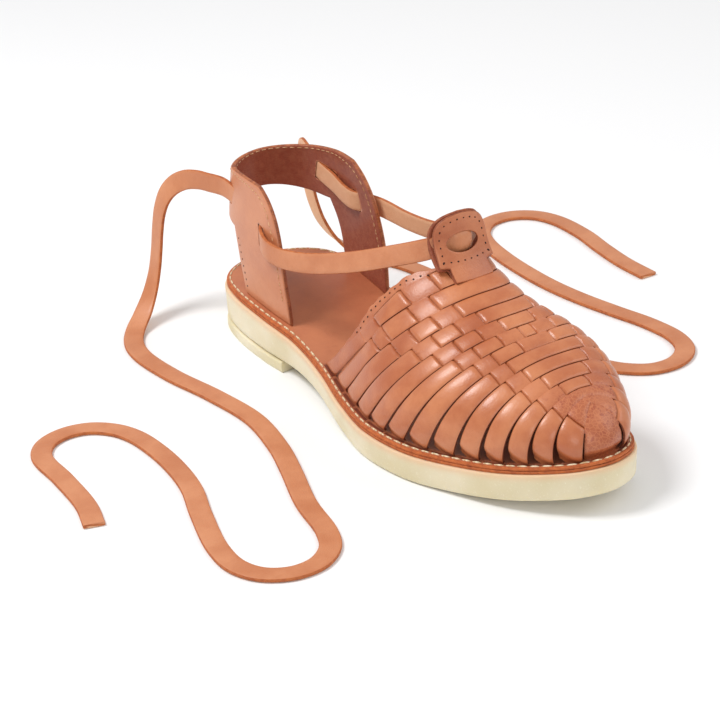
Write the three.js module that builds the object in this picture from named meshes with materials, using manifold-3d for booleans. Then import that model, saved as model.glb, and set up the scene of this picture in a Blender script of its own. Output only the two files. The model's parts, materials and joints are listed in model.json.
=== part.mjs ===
// Woven leather huarache sandal, right foot, women's EU 38.
// Millimetres, +Z up, +Y to the toe, +X to the lateral side. The shoe stands on its heel lift and
// forefoot. It is drawn with the back of the heel at y = 0 and then centred over the origin.

import * as THREE from 'three';
import { mergeVertices } from 'three/addons/utils/BufferGeometryUtils.js';
import Module from 'manifold-3d';

const wasm = await Module();
wasm.setup();

// Driving sizes
const LENGTH = 260.9;             // heel back to toe tip of the crepe sole
const HEEL_THICK = 20.7;          // crepe top above the floor at the heel
const TREAD_THICK = 11.9;         // crepe top above the floor at the ball
const TOE_SPRING = 9.1;           // rise of the toe above the tread
const SPRING_START = 182;         // y where the toe starts to rise
const LIFT_HEIGHT = 5.0;          // separate crepe heel lift
const GAP = 0.3;                  // between glued or sewn layers
const LEATHER = 1.15;             // each leather sole layer
const EDGE_ROUND = 1.5;           // rounding of the crepe's bottom edge
const UPPER_INSET = 3.7;          // foot of the upper, inside the sole's outline
const WEAVE_WALL = 2.6;           // woven wall, strips and bands together
const BAND_DROP = 0.8;            // a strip stands this much over the bands
const EDGE_DROP = 0.55;           // a strip's edges lie this much under its crown
const STRIP_HALF = 0.42;          // half a strip's width, as a share of a row
const COLUMN = 5;                 // width of one slit band of the vamp
const QUARTER_WALL = 2.4;
const LACE_WIDTH = 9;
const LACE_THICK = 1.7;
const SLIT_CLEAR = 0.4;           // room round the lace in its slits

// Centre of the standing sole's outline, moved over the origin
const CENTRE_X = 4.15;
const CENTRE_Y = 130.45;

// Sole outline: half sides by distance from the heel
const OUTLINE = [
  { y: 4, lateral: 14.3, medial: -16.8 },
  { y: 14, lateral: 25.2, medial: -27.8 },
  { y: 32, lateral: 30.7, medial: -32.7 },
  { y: 58, lateral: 32.8, medial: -31.0 },
  { y: 84, lateral: 32.5, medial: -28.5 },
  { y: 110, lateral: 36.2, medial: -27.2 },
  { y: 138, lateral: 43.2, medial: -28.5 },
  { y: 163, lateral: 47.4, medial: -32.8 },
  { y: 188, lateral: 45.2, medial: -38.5 },
  { y: 212, lateral: 36.9, medial: -38.5 },
  { y: 233, lateral: 27.4, medial: -33.5 },
  { y: 248, lateral: 16.5, medial: -26.9 },
  { y: 256.5, lateral: 7.4, medial: -18.8 },
];
const HEEL_APEX_X = -1.2;
const TOE_TIP_X = -5.9;

// Breast of the heel lift, from the lateral corner to the medial one
const BREAST = [
  { x: 32.6, y: 73.5 },
  { x: 14, y: 74.2 },
  { x: -4.7, y: 77.7 },
  { x: -18, y: 83 },
  { x: -28.6, y: 88.5 },
];

// Ridge of the vamp: the highest line, over the instep and toes
const RIDGE = [
  { y: 150, x: -6.5, z: 79.5 },
  { y: 165, x: -7.2, z: 70.8 },
  { y: 180, x: -8, z: 64.3 },
  { y: 200, x: -8, z: 57.3 },
  { y: 220, x: -8, z: 50 },
  { y: 240, x: -7.5, z: 42.8 },
  { y: 252, x: -7, z: 37.8 },
  { y: 264, x: -6, z: 31.5 },
];

// Rows of the weave, back to toe: where each one's ends and middle lie along the shoe
const ROWS = [
  { row: -0.6, lateral: 110, medial: 110, ridge: 160.5 },
  { row: 0, lateral: 115, medial: 115, ridge: 165.5 },
  { row: 2, lateral: 140, medial: 139, ridge: 181.5 },
  { row: 4, lateral: 165.5, medial: 164, ridge: 196 },
  { row: 6, lateral: 191, medial: 190, ridge: 208.5 },
  { row: 8, lateral: 215, medial: 214, ridge: 221 },
  { row: 10, lateral: 235, medial: 235, ridge: 234 },
  { row: 12, lateral: 251, medial: 251, ridge: 243 },
  { row: 13.5, lateral: LENGTH, medial: LENGTH, ridge: 247 },
];

// Fullness of the vamp's section on each side: out and up are boxier as they grow, and bulge is how
// far the side swells past its foot
const LATERAL_FULLNESS = [
  { row: -0.6, out: 1.9, up: 1.8, bulge: 1.2 },
  { row: 6, out: 2.0, up: 1.8, bulge: 1.4 },
  { row: 10, out: 2.2, up: 1.9, bulge: 1.8 },
  { row: 13.5, out: 2.6, up: 2.2, bulge: 2.2 },
];
const MEDIAL_FULLNESS = [
  { row: -0.6, out: 4.4, up: 2.9, bulge: 2.6 },
  { row: 6, out: 4.4, up: 3.0, bulge: 3.4 },
  { row: 10, out: 3.4, up: 2.6, bulge: 3.2 },
  { row: 13.5, out: 2.6, up: 2.2, bulge: 2.2 },
];

// Weave chart: for each row, in bands from the ridge, how far the middle float reaches, where the
// inner float runs from and to, and where the side strip starts
const CHART = [
  { middle: 3.0, over: 0, inner: 6.5, outer: 10.5, innerOver: 1, side: 12.5 },
  { middle: 4.5, over: 1, inner: 6.5, outer: 9.5, innerOver: 1, side: 11 },
  { middle: 3.5, over: 1, inner: 5.5, outer: 7.7, innerOver: 1, side: 9.7 },
  { middle: 2.5, over: 1, inner: 4.5, outer: 6.6, innerOver: 1, side: 8.5 },
  { middle: 1.5, over: 1, inner: 3.5, outer: 5.6, innerOver: 1, side: 7.5 },
  { middle: 0.6, over: 1, inner: 2.5, outer: 4.8, innerOver: 1, side: 6.5 },
  { middle: 0.5, over: 0, inner: 1.5, outer: 4.0, innerOver: 1, side: 5.6 },
  { middle: 3.5, over: 1, inner: 4.0, outer: 4.4, innerOver: 0, side: 5.0 },
  { middle: 2.9, over: 1, inner: 3.4, outer: 3.9, innerOver: 0, side: 4.5 },
  { middle: 2.1, over: 1, inner: 2.7, outer: 3.3, innerOver: 0, side: 4.0 },
  { middle: 1.3, over: 1, inner: 2.0, outer: 2.7, innerOver: 0, side: 3.5 },
  { middle: 0.8, over: 0, inner: 1.5, outer: 2.2, innerOver: 0, side: 2.9 },
  { middle: 0.7, over: 0, inner: 1.2, outer: 1.8, innerOver: 0, side: 2.4 },
];

// Instep tab in side view, from the vamp up to its rounded top: half width and thickness
const TAB_X = -6.5;
const TAB = [
  { y: 169.5, z: 67.2, half: 13.5, thick: 3.0 },
  { y: 165.5, z: 71.2, half: 13.2, thick: 3.4 },
  { y: 161.6, z: 75.4, half: 12.9, thick: 5.2 },
  { y: 158.9, z: 80.6, half: 12.9, thick: 5.8 },
  { y: 158.0, z: 85.6, half: 12.6, thick: 5.2 },
  { y: 158.2, z: 89.4, half: 11.2, thick: 3.8 },
  { y: 158.7, z: 92.0, half: 8.4, thick: 3.2 },
  { y: 159.0, z: 93.3, half: 4.6, thick: 3.0 },
];
const TAB_SLOPE = 0.42;           // the tab's front turns to the lateral side by this much per mm
const WINDOW_HALF_WIDTH = 7.6;
const WINDOW_HALF_HEIGHT = 4.6;

// Quarter in side view: rear and front edges of each leg, from the footbed to the band's top
const LEG = [
  { height: 24, rear: 36, front: 75.5 },
  { height: 34, rear: 34, front: 74.6 },
  { height: 44, rear: 31, front: 73.2 },
  { height: 53, rear: 27, front: 71.4 },
  { height: 62, rear: 23, front: 68.6 },
  { height: 69, rear: 21, front: 65.0 },
  { height: 75, rear: 20, front: 59.5 },
  { height: 79.5, rear: 19, front: 52.0 },
];
const ARCH_ROW = 3;               // row of LEG at which the legs join into the band
const ARCH_RISE = 6;              // the band's lower edge rises by this much to the back
const BACK_DIP = 3;               // the band's top is this much lower at the back
const QUARTER_INSET = [
  { height: 24, inset: 4.6 },
  { height: 42, inset: 4.0 },
  { height: 60, inset: 5.0 },
  { height: 80, inset: 7.0 },
];

// Lace: held stretch from the lateral back slit, over the instep, to the medial back slit.
// turn is the lean of its width, in degrees, from upright
const LACE = [
  { x: 25.2, y: 9.0, z: 68.0, turn: 0 },
  { x: 22.8, y: 15.5, z: 67.6, turn: 0 },
  { x: 22.2, y: 24.0, z: 66.0, turn: 0 },
  { x: 22.9, y: 34.0, z: 63.6, turn: 0 },
  { x: 23.3, y: 44.0, z: 61.0, turn: 0 },
  { x: 24.8, y: 51.0, z: 59.2, turn: 0 },
  { x: 28.6, y: 57.0, z: 57.4, turn: 0 },
  { x: 30.4, y: 64.0, z: 55.6, turn: 2 },
  { x: 29.8, y: 72.5, z: 54.6, turn: 4 },
  { x: 26.4, y: 87.0, z: 55.9, turn: 8 },
  { x: 21.9, y: 103.7, z: 60.0, turn: 12 },
  { x: 17.4, y: 120.0, z: 65.3, turn: 15 },
  { x: 13.0, y: 136.0, z: 71.6, turn: 14 },
  { x: 8.6, y: 150.0, z: 77.3, turn: 8 },
  { x: 3.6, y: 156.2, z: 79.9, turn: 4 },
  { x: -6.5, y: 158.0, z: 80.6, turn: 0 },
  { x: -16.6, y: 155.4, z: 79.4, turn: -4 },
  { x: -21.4, y: 146.6, z: 75.6, turn: -8 },
  { x: -23.6, y: 129.0, z: 69.4, turn: -10 },
  { x: -25.4, y: 109.2, z: 64.4, turn: -8 },
  { x: -27.0, y: 88.0, z: 61.4, turn: -4 },
  { x: -28.4, y: 72.5, z: 60.2, turn: 0 },
  { x: -28.4, y: 64.0, z: 59.8, turn: 0 },
  { x: -26.6, y: 57.0, z: 59.8, turn: 0 },
  { x: -23.2, y: 51.0, z: 60.2, turn: 0 },
  { x: -22.9, y: 44.0, z: 61.0, turn: 0 },
  { x: -23.8, y: 34.0, z: 63.0, turn: 0 },
  { x: -23.5, y: 24.0, z: 65.6, turn: 0 },
  { x: -24.2, y: 15.5, z: 67.6, turn: 0 },
  { x: -26.6, y: 9.0, z: 68.0, turn: 0 },
];

// Free ties, from the back slits down to the floor and along it; flat is 0 where the tie hangs with
// its face outwards and 1 where it lies flat
const TIE_LATERAL = [
  { x: 25.5, y: 8.3, z: 68, flat: 0 },
  { x: 28, y: 1.4, z: 68, flat: 0 },
  { x: 31, y: -5.4, z: 66.6, flat: 0 },
  { x: 34.1, y: -11.6, z: 62.7, flat: 0 },
  { x: 36.6, y: -15.9, z: 56.9, flat: 0 },
  { x: 38.6, y: -18.1, z: 49.4, flat: 0 },
  { x: 40.2, y: -18.7, z: 40.6, flat: 0 },
  { x: 41.9, y: -18.2, z: 31.4, flat: 0.1 },
  { x: 44.6, y: -16.8, z: 22.2, flat: 0.25 },
  { x: 49.4, y: -14, z: 13.4, flat: 0.5 },
  { x: 56.2, y: -9.6, z: 6.4, flat: 0.8 },
  { x: 64, y: -3.2, z: 2.2, flat: 1 },
  { x: 70.2, y: 6.6, z: 1.1, flat: 1 },
  { x: 73.6, y: 20, z: 1.1, flat: 1 },
  { x: 72.8, y: 46, z: 1.1, flat: 1 },
  { x: 68, y: 76, z: 1.1, flat: 1 },
  { x: 65.8, y: 106, z: 1.1, flat: 1 },
  { x: 71, y: 135, z: 1.1, flat: 1 },
  { x: 77, y: 154, z: 1.1, flat: 1 },
  { x: 86.8, y: 182, z: 1.1, flat: 1 },
  { x: 92.4, y: 206.5, z: 1.1, flat: 1 },
  { x: 98, y: 217.6, z: 1.1, flat: 1 },
  { x: 107.4, y: 224.4, z: 1.1, flat: 1 },
  { x: 118.6, y: 224.8, z: 1.1, flat: 1 },
  { x: 128.4, y: 218.8, z: 1.1, flat: 1 },
  { x: 133.4, y: 208, z: 1.1, flat: 1 },
  { x: 132.6, y: 192, z: 1.1, flat: 1 },
  { x: 124.4, y: 164, z: 1.1, flat: 1 },
  { x: 117, y: 143, z: 1.1, flat: 1 },
  { x: 113.4, y: 124, z: 1.1, flat: 1 },
  { x: 112.2, y: 105, z: 1.1, flat: 1 },
  { x: 113.4, y: 88, z: 1.1, flat: 1 },
  { x: 117.6, y: 77, z: 1.1, flat: 1 },
  { x: 125.6, y: 69.2, z: 1.1, flat: 1 },
  { x: 136.2, y: 67, z: 1.1, flat: 1 },
  { x: 146.6, y: 71, z: 1.1, flat: 1 },
  { x: 153, y: 80.4, z: 1.1, flat: 1 },
  { x: 154.6, y: 103, z: 1.1, flat: 1 },
  { x: 157.4, y: 129, z: 1.1, flat: 1 },
  { x: 162, y: 145, z: 1.1, flat: 1 },
];
const TIE_MEDIAL = [
  { x: -26.9, y: 8.3, z: 68, flat: 0 },
  { x: -29.4, y: 1.4, z: 68, flat: 0 },
  { x: -32.4, y: -5.4, z: 66.6, flat: 0 },
  { x: -35.5, y: -11.6, z: 62.7, flat: 0 },
  { x: -38, y: -15.9, z: 56.9, flat: 0 },
  { x: -40, y: -18.1, z: 49.4, flat: 0 },
  { x: -41.6, y: -18.7, z: 40.6, flat: 0 },
  { x: -43.3, y: -18.2, z: 31.4, flat: 0.1 },
  { x: -46, y: -16.8, z: 22.2, flat: 0.25 },
  { x: -50.8, y: -14, z: 13.4, flat: 0.5 },
  { x: -57.6, y: -9.6, z: 6.4, flat: 0.8 },
  { x: -65.4, y: -3.2, z: 2.2, flat: 1 },
  { x: -71.6, y: 6.6, z: 1.1, flat: 1 },
  { x: -75, y: 20, z: 1.1, flat: 1 },
  { x: -76.4, y: 47, z: 1.1, flat: 1 },
  { x: -73, y: 78, z: 1.1, flat: 1 },
  { x: -70.6, y: 107, z: 1.1, flat: 1 },
  { x: -73.6, y: 134, z: 1.1, flat: 1 },
  { x: -78.4, y: 152, z: 1.1, flat: 1 },
  { x: -85.4, y: 165.6, z: 1.1, flat: 1 },
  { x: -95.4, y: 173.6, z: 1.1, flat: 1 },
  { x: -107.4, y: 174.2, z: 1.1, flat: 1 },
  { x: -117.6, y: 167.4, z: 1.1, flat: 1 },
  { x: -122.6, y: 155, z: 1.1, flat: 1 },
  { x: -122.4, y: 137, z: 1.1, flat: 1 },
  { x: -118.4, y: 116, z: 1.1, flat: 1 },
  { x: -115, y: 96, z: 1.1, flat: 1 },
  { x: -113.2, y: 76, z: 1.1, flat: 1 },
  { x: -113.4, y: 56, z: 1.1, flat: 1 },
  { x: -115.2, y: 35, z: 1.1, flat: 1 },
  { x: -119.4, y: 14, z: 1.1, flat: 1 },
  { x: -125, y: 2.6, z: 1.1, flat: 1 },
  { x: -134.6, y: -4.6, z: 1.1, flat: 1 },
  { x: -146.4, y: -5, z: 1.1, flat: 1 },
  { x: -156.4, y: 1.6, z: 1.1, flat: 1 },
  { x: -161.4, y: 13.4, z: 1.1, flat: 1 },
  { x: -161.4, y: 36, z: 1.1, flat: 1 },
  { x: -158, y: 56, z: 1.1, flat: 1 },
  { x: -155.4, y: 76, z: 1.1, flat: 1 },
  { x: -155, y: 95, z: 1.1, flat: 1 },
];

// Mesh densities
const OUTLINE_STEPS = 3;          // points between two rows of OUTLINE
const STRIP_SIDE_CELLS = 4;       // cells along a side strip
const HALF_SAMPLES = 40;          // samples for a row's length

// Small helpers
const clamp = (v, low, high) => Math.min(high, Math.max(low, v));
const mix = (a, b, t) => a + (b - a) * t;
const smooth = (t) => {
  const c = clamp(t, 0, 1);
  return c * c * (3 - 2 * c);
};

// Smooth curve through one column of a table, keyed by another column
function through(rows, key, column) {
  const slopes = rows.map((row, i) => {
    const before = rows[Math.max(i - 1, 0)];
    const after = rows[Math.min(i + 1, rows.length - 1)];
    return (after[column] - before[column]) / (after[key] - before[key]);
  });
  return (value) => {
    const v = clamp(value, rows[0][key], rows[rows.length - 1][key]);
    let i = 0;
    while (i < rows.length - 2 && v > rows[i + 1][key]) i += 1;
    const width = rows[i + 1][key] - rows[i][key];
    const t = (v - rows[i][key]) / width;
    const a = rows[i][column];
    const b = rows[i + 1][column];
    const hermite = (2 * t ** 3 - 3 * t ** 2 + 1) * a + (3 * t ** 2 - 2 * t ** 3) * b;
    const leaving = (t ** 3 - 2 * t ** 2 + t) * width * slopes[i];
    const arriving = (t ** 3 - t ** 2) * width * slopes[i + 1];
    return hermite + leaving + arriving;
  };
}

// Heights of the sole
const toeRise = (y) => TOE_SPRING * clamp((y - SPRING_START) / (LENGTH - SPRING_START), 0, 1) ** 2;
const crepeTop = (y) => mix(HEEL_THICK, TREAD_THICK, smooth((y - 38) / 124)) + toeRise(y);
const crepeBottom = (y) => mix(LIFT_HEIGHT + GAP, 0, smooth((y - 90) / 70)) + toeRise(y);
const midsoleTop = (y) => crepeTop(y) + GAP + LEATHER;
const footbedTop = (y) => midsoleTop(y) + GAP + LEATHER;

// Outline of the sole as one closed curve; k runs from 0 at the heel to TIP_KEY at the toe
const TIP_KEY = OUTLINE.length + 1;
const outlinePoints = [
  new THREE.Vector3(HEEL_APEX_X, 0, 0),
  ...OUTLINE.map((row) => new THREE.Vector3(row.lateral, row.y, 0)),
  new THREE.Vector3(TOE_TIP_X, LENGTH, 0),
  ...[...OUTLINE].reverse().map((row) => new THREE.Vector3(row.medial, row.y, 0)),
];
const outlineCurve = new THREE.CatmullRomCurve3(outlinePoints, true, 'centripetal');

function outlineAt(side, k, inset) {
  const turn = (side > 0 ? k : 2 * TIP_KEY - k) / (2 * TIP_KEY);
  const wrap = (t) => ((t % 1) + 1) % 1;
  const point = outlineCurve.getPoint(wrap(turn));
  const step = 0.0005;
  const ahead = outlineCurve.getPoint(wrap(turn + step));
  const behind = outlineCurve.getPoint(wrap(turn - step));
  const along = ahead.sub(behind).normalize();
  return { x: point.x - along.y * inset, y: point.y + along.x * inset };
}

// Key of the inset outline's point at a given distance along the shoe
function outlineKey(side, y, inset) {
  let low = 0;
  let high = TIP_KEY;
  for (let i = 0; i < 24; i += 1) {
    const middle = (low + high) / 2;
    if (outlineAt(side, middle, inset).y < y) low = middle;
    else high = middle;
  }
  return (low + high) / 2;
}

const outlineAtY = (side, y, inset) => outlineAt(side, outlineKey(side, y, inset), inset);

// Collects vertices and faces of one closed body
class Shell {
  constructor() {
    this.positions = [];
    this.faces = [];
  }

  add(x, y, z) {
    this.positions.push(x, y, z);
    return this.positions.length / 3 - 1;
  }

  triangle(a, b, c) {
    if (a !== b && b !== c && c !== a) this.faces.push(a, b, c);
  }

  quad(a, b, c, d) {
    this.triangle(a, b, c);
    this.triangle(a, c, d);
  }

  geometry() {
    const geometry = new THREE.BufferGeometry();
    geometry.setAttribute('position', new THREE.Float32BufferAttribute(this.positions, 3));
    geometry.setIndex(this.faces);
    return geometry;
  }
}

function solidOf(geometry) {
  const bare = geometry.clone();
  bare.deleteAttribute('normal');
  bare.deleteAttribute('uv');
  const merged = mergeVertices(bare);
  return new wasm.Manifold(new wasm.Mesh({
    numProp: 3,
    vertProperties: new Float32Array(merged.attributes.position.array),
    triVerts: new Uint32Array(merged.index.array),
  }));
}

function geometryOf(solid) {
  const mesh = solid.getMesh();
  const geometry = new THREE.BufferGeometry();
  geometry.setAttribute('position', new THREE.BufferAttribute(mesh.vertProperties, 3));
  geometry.setIndex(new THREE.BufferAttribute(mesh.triVerts, 1));
  return geometry;
}

// Layer of the sole as a stack of insets of the outline, bottom to top
function soleLayer(levels) {
  const shell = new Shell();
  const stations = [];
  for (let k = 0; k <= TIP_KEY * OUTLINE_STEPS; k += 1) stations.push(k / OUTLINE_STEPS);
  const rings = levels.map((level) => {
    const corner = (side, k) => {
      const point = outlineAt(side, k, level.inset);
      return shell.add(point.x, point.y, level.height(point.y));
    };
    const lateral = stations.map((k) => corner(1, k));
    const inner = stations.slice(1, -1).map((k) => corner(-1, k));
    return { lateral, medial: [lateral[0], ...inner, lateral[lateral.length - 1]] };
  });
  const last = stations.length - 1;
  for (let i = 0; i < last; i += 1) {
    for (let r = 0; r < rings.length - 1; r += 1) {
      const low = rings[r];
      const up = rings[r + 1];
      shell.quad(low.lateral[i], low.lateral[i + 1], up.lateral[i + 1], up.lateral[i]);
      shell.quad(low.medial[i + 1], low.medial[i], up.medial[i], up.medial[i + 1]);
    }
    const top = rings[rings.length - 1];
    const bottom = rings[0];
    shell.quad(top.lateral[i], top.lateral[i + 1], top.medial[i + 1], top.medial[i]);
    shell.quad(bottom.lateral[i + 1], bottom.lateral[i], bottom.medial[i], bottom.medial[i + 1]);
  }
  return shell.geometry();
}

function outsole() {
  return soleLayer([
    { inset: EDGE_ROUND + 0.6, height: crepeBottom },
    { inset: 0.9, height: (y) => crepeBottom(y) + EDGE_ROUND * 0.45 },
    { inset: 0.5, height: (y) => crepeBottom(y) + EDGE_ROUND },
    { inset: 0, height: (y) => crepeTop(y) - 1.2 },
    { inset: 0.3, height: crepeTop },
  ]);
}

function heelLift() {
  const shape = new THREE.Shape();
  const inset = 0.8;
  const steps = 14;
  const corner = (side, y) => outlineAtY(side, y, inset);
  const lateralEnd = BREAST[0].y;
  const medialEnd = BREAST[BREAST.length - 1].y;
  const ease = (i) => (i / steps) ** 2;
  const heel = outlineAt(1, 0, inset);
  shape.moveTo(heel.x, heel.y);
  for (let i = 1; i <= steps; i += 1) {
    const point = corner(1, mix(heel.y, lateralEnd, ease(i)));
    shape.lineTo(point.x, point.y);
  }
  BREAST.slice(1, -1).forEach((point) => shape.lineTo(point.x, point.y));
  for (let i = steps; i >= 1; i -= 1) {
    const point = corner(-1, mix(heel.y, medialEnd, ease(i)));
    shape.lineTo(point.x, point.y);
  }
  const bevel = 0.8;
  const geometry = new THREE.ExtrudeGeometry(shape, {
    depth: LIFT_HEIGHT - 2 * bevel,
    bevelSize: bevel,
    bevelOffset: -bevel,
    bevelThickness: bevel,
    bevelSegments: 1,
  });
  geometry.translate(0, 0, bevel);
  return geometry;
}

// Wall from a grid of points: kept cells become an outer and an inner face, and every open edge
// between them is closed. same() names grid points that are one and the same
function wall(outer, inner, keep, same) {
  const shell = new Shell();
  const ids = new Map();
  const id = (layer, j, i) => {
    const [sj, si] = same(j, i);
    const key = `${layer}:${sj}:${si}`;
    if (!ids.has(key)) {
      const point = (layer === 0 ? outer : inner)[sj][si];
      ids.set(key, shell.add(point.x, point.y, point.z));
    }
    return ids.get(key);
  };
  const edges = new Map();
  for (let j = 0; j < outer.length - 1; j += 1) {
    for (let i = 0; i < outer[j].length - 1; i += 1) {
      if (!keep(j, i)) continue;
      const corners = [[j, i], [j, i + 1], [j + 1, i + 1], [j + 1, i]];
      const top = corners.map(([cj, ci]) => id(0, cj, ci));
      const bottom = corners.map(([cj, ci]) => id(1, cj, ci));
      shell.quad(...top);
      shell.quad(...[...bottom].reverse());
      corners.forEach((_, n) => {
        const m = (n + 1) % 4;
        edges.set(`${top[n]}>${top[m]}`, [top[n], top[m], bottom[n], bottom[m]]);
      });
    }
  }
  edges.forEach(([a, b, c, d]) => {
    if (a !== b && !edges.has(`${b}>${a}`)) shell.quad(b, a, c, d);
  });
  return shell.geometry();
}

const never = (j, i) => [j, i];

// Vamp surface
const ridgeX = through(RIDGE, 'y', 'x');
const ridgeZ = through(RIDGE, 'y', 'z');
const rowAt = (column) => through(ROWS, 'row', column);
const rowLateral = rowAt('lateral');
const rowMedial = rowAt('medial');
const rowRidge = rowAt('ridge');
const fullnessOf = (rows) => ({
  out: through(rows, 'row', 'out'),
  up: through(rows, 'row', 'up'),
  bulge: through(rows, 'row', 'bulge'),
});
const lateralFullness = fullnessOf(LATERAL_FULLNESS);
const medialFullness = fullnessOf(MEDIAL_FULLNESS);
const TOE_ROW = ROWS[ROWS.length - 1].row;

// Where a row leaves the footbed, and which way is outwards there
const feet = new Map();
function vampFoot(row, side) {
  const name = `${row}:${side}`;
  if (!feet.has(name)) {
    const y = Math.min(side > 0 ? rowLateral(row) : rowMedial(row), LENGTH - UPPER_INSET);
    const atTip = y > LENGTH - UPPER_INSET - 0.01;
    const key = atTip ? TIP_KEY : outlineKey(side, y, UPPER_INSET);
    const start = outlineAt(side, key, UPPER_INSET);
    const beyond = outlineAt(side, key, UPPER_INSET - 1);
    feet.set(name, { ...start, outX: beyond.x - start.x, outY: beyond.y - start.y });
  }
  return feet.get(name);
}

// Point of the vamp: rise runs from 0 at the footbed to 1 at the ridge
function vampPoint(row, side, rise) {
  const foot = vampFoot(row, side);
  const middle = rowRidge(row);
  const full = side > 0 ? lateralFullness : medialFullness;
  const angle = (rise * Math.PI) / 2;
  const reach = Math.cos(angle) ** (2 / full.out(row));
  const lift = Math.sin(angle) ** (2 / full.up(row));
  const swell = full.bulge(row) * Math.sin(2 * angle);
  const toe = clamp((row - 9) / (TOE_ROW - 9), 0, 1) ** 1.5;
  const run = mix(1 - (1 - rise) ** 1.9, 1 - reach, toe);
  const y = mix(foot.y, middle, run) + foot.outY * swell;
  const x = mix(ridgeX(middle), foot.x, reach) + foot.outX * swell;
  const floor = footbedTop(y) + GAP;
  return new THREE.Vector3(x, y, mix(floor, ridgeZ(y), lift));
}

function vampNormal(row, side, rise) {
  const e = 0.01;
  const r = clamp(row, ROWS[0].row + e, TOE_ROW - e);
  const u = clamp(rise, e, 1 - e);
  const alongRow = vampPoint(r, side, u + e).sub(vampPoint(r, side, u - e));
  const alongShoe = vampPoint(r + e, side, u).sub(vampPoint(r - e, side, u));
  return alongRow.cross(alongShoe).multiplyScalar(-side).normalize();
}

// Rise at a distance in mm from the ridge, measured along the row
function riseFinder(row, side) {
  const lengths = [0];
  let last = vampPoint(row, side, 1);
  for (let i = 1; i <= HALF_SAMPLES; i += 1) {
    const next = vampPoint(row, side, 1 - i / HALF_SAMPLES);
    lengths.push(lengths[i - 1] + next.distanceTo(last));
    last = next;
  }
  const total = lengths[HALF_SAMPLES];
  const at = (distance) => {
    let i = 1;
    while (i < HALF_SAMPLES && lengths[i] < distance) i += 1;
    const t = (distance - lengths[i - 1]) / (lengths[i] - lengths[i - 1]);
    return clamp(1 - (i - 1 + t) / HALF_SAMPLES, 0, 1);
  };
  return { at, total };
}

// Lines across the vamp: back edge, three to a strip, and the toe piece
function vampLines() {
  const lines = [{ row: ROWS[0].row, strip: 0, edge: true }];
  CHART.forEach((_, strip) => {
    [-STRIP_HALF, 0, STRIP_HALF].forEach((offset) => {
      lines.push({ row: strip + offset, strip, edge: offset !== 0 });
    });
  });
  const last = CHART.length - 1;
  lines.push({ row: last + 0.6, strip: last, edge: true });
  lines.push({ row: last + 1.0, strip: last, edge: false });
  lines.push({ row: TOE_ROW, strip: last, edge: false });
  return lines;
}

// Places along half a line, from the ridge to the footbed, with the height step of each
function vampHalf(line, side) {
  const chart = CHART[line.strip];
  const { at, total } = riseFinder(line.row, side);
  const step = 0.5;
  const start = Math.min(chart.side * COLUMN, total * 0.62);
  const scale = start / (chart.side * COLUMN);
  const places = [{ distance: 0, over: chart.over }];
  const turn = (bands, inside, outside) => {
    places.push({ distance: bands * COLUMN * scale - step, over: inside });
    places.push({ distance: bands * COLUMN * scale + step, over: outside });
  };
  turn(chart.middle, chart.over, 0);
  turn(chart.inner, 0, chart.innerOver);
  turn(chart.outer, chart.innerOver, 0);
  turn(chart.side, 0, 1);
  const from = places[places.length - 1].distance;
  for (let i = 1; i <= STRIP_SIDE_CELLS; i += 1) {
    const share = i / STRIP_SIDE_CELLS;
    places.push({ distance: mix(from, total, 1 - (1 - share) ** 1.3), over: 1 });
  }
  return places.map((place) => ({ rise: at(place.distance), over: place.over }));
}

function vampWall() {
  const lines = vampLines();
  const outer = [];
  const inner = [];
  lines.forEach((line) => {
    const corner = (side, place) => {
      const point = vampPoint(line.row, side, place.rise);
      const normal = vampNormal(line.row, side, place.rise);
      if (place.rise <= 0) normal.setZ(0).normalize();
      const drop = (place.over ? 0 : BAND_DROP) + (line.edge ? EDGE_DROP : 0);
      return {
        top: point.clone().addScaledVector(normal, -drop),
        bottom: point.clone().addScaledVector(normal, -WEAVE_WALL),
      };
    };
    const lateral = vampHalf(line, 1).map((place) => corner(1, place));
    const medial = vampHalf(line, -1).map((place) => corner(-1, place));
    const across = [...medial.reverse(), ...lateral.slice(1)];
    outer.push(across.map((c) => c.top));
    inner.push(across.map((c) => c.bottom));
  });
  const width = outer[0].length;
  const middle = (width - 1) / 2;
  const toe = lines.length - 1;
  const sideStart = 8;
  const floats = [1, 2, 3, 7, 8, 9];
  const keep = (j, i) => {
    const between = lines[j].strip !== lines[j + 1].strip || j === toe - 3;
    if (!between || j === 0) return true;
    const away = i < middle ? middle - 1 - i : i - middle;
    const inSide = away >= sideStart && away < sideStart + STRIP_SIDE_CELLS - 1;
    const inMiddle = floats.includes(lines[j].strip) && away < 1;
    return !inSide && !inMiddle;
  };
  const same = (j, i) => (j === toe && i > middle ? [j, width - 1 - i] : [j, i]);
  return wall(outer, inner, keep, same);
}

// Instep tab as a plate with a rounded top, standing in the vamp's back edge
function tabPlate() {
  const outer = [];
  const inner = [];
  const across = 8;
  TAB.forEach((row, j) => {
    const below = TAB[Math.max(j - 1, 0)];
    const above = TAB[Math.min(j + 1, TAB.length - 1)];
    const normal = new THREE.Vector3(0, above.z - below.z, below.y - above.y).normalize();
    const front = [];
    const back = [];
    for (let i = 0; i <= across; i += 1) {
      const u = 1 - (2 * i) / across;
      const bow = -1.6 * u * u;
      const point = new THREE.Vector3(TAB_X + u * row.half, row.y + bow, row.z);
      front.push(point.clone().addScaledVector(normal, row.thick / 2));
      back.push(point.clone().addScaledVector(normal, -row.thick / 2));
    }
    outer.push(front);
    inner.push(back);
  });
  return wall(outer, inner, () => true, never);
}

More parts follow.
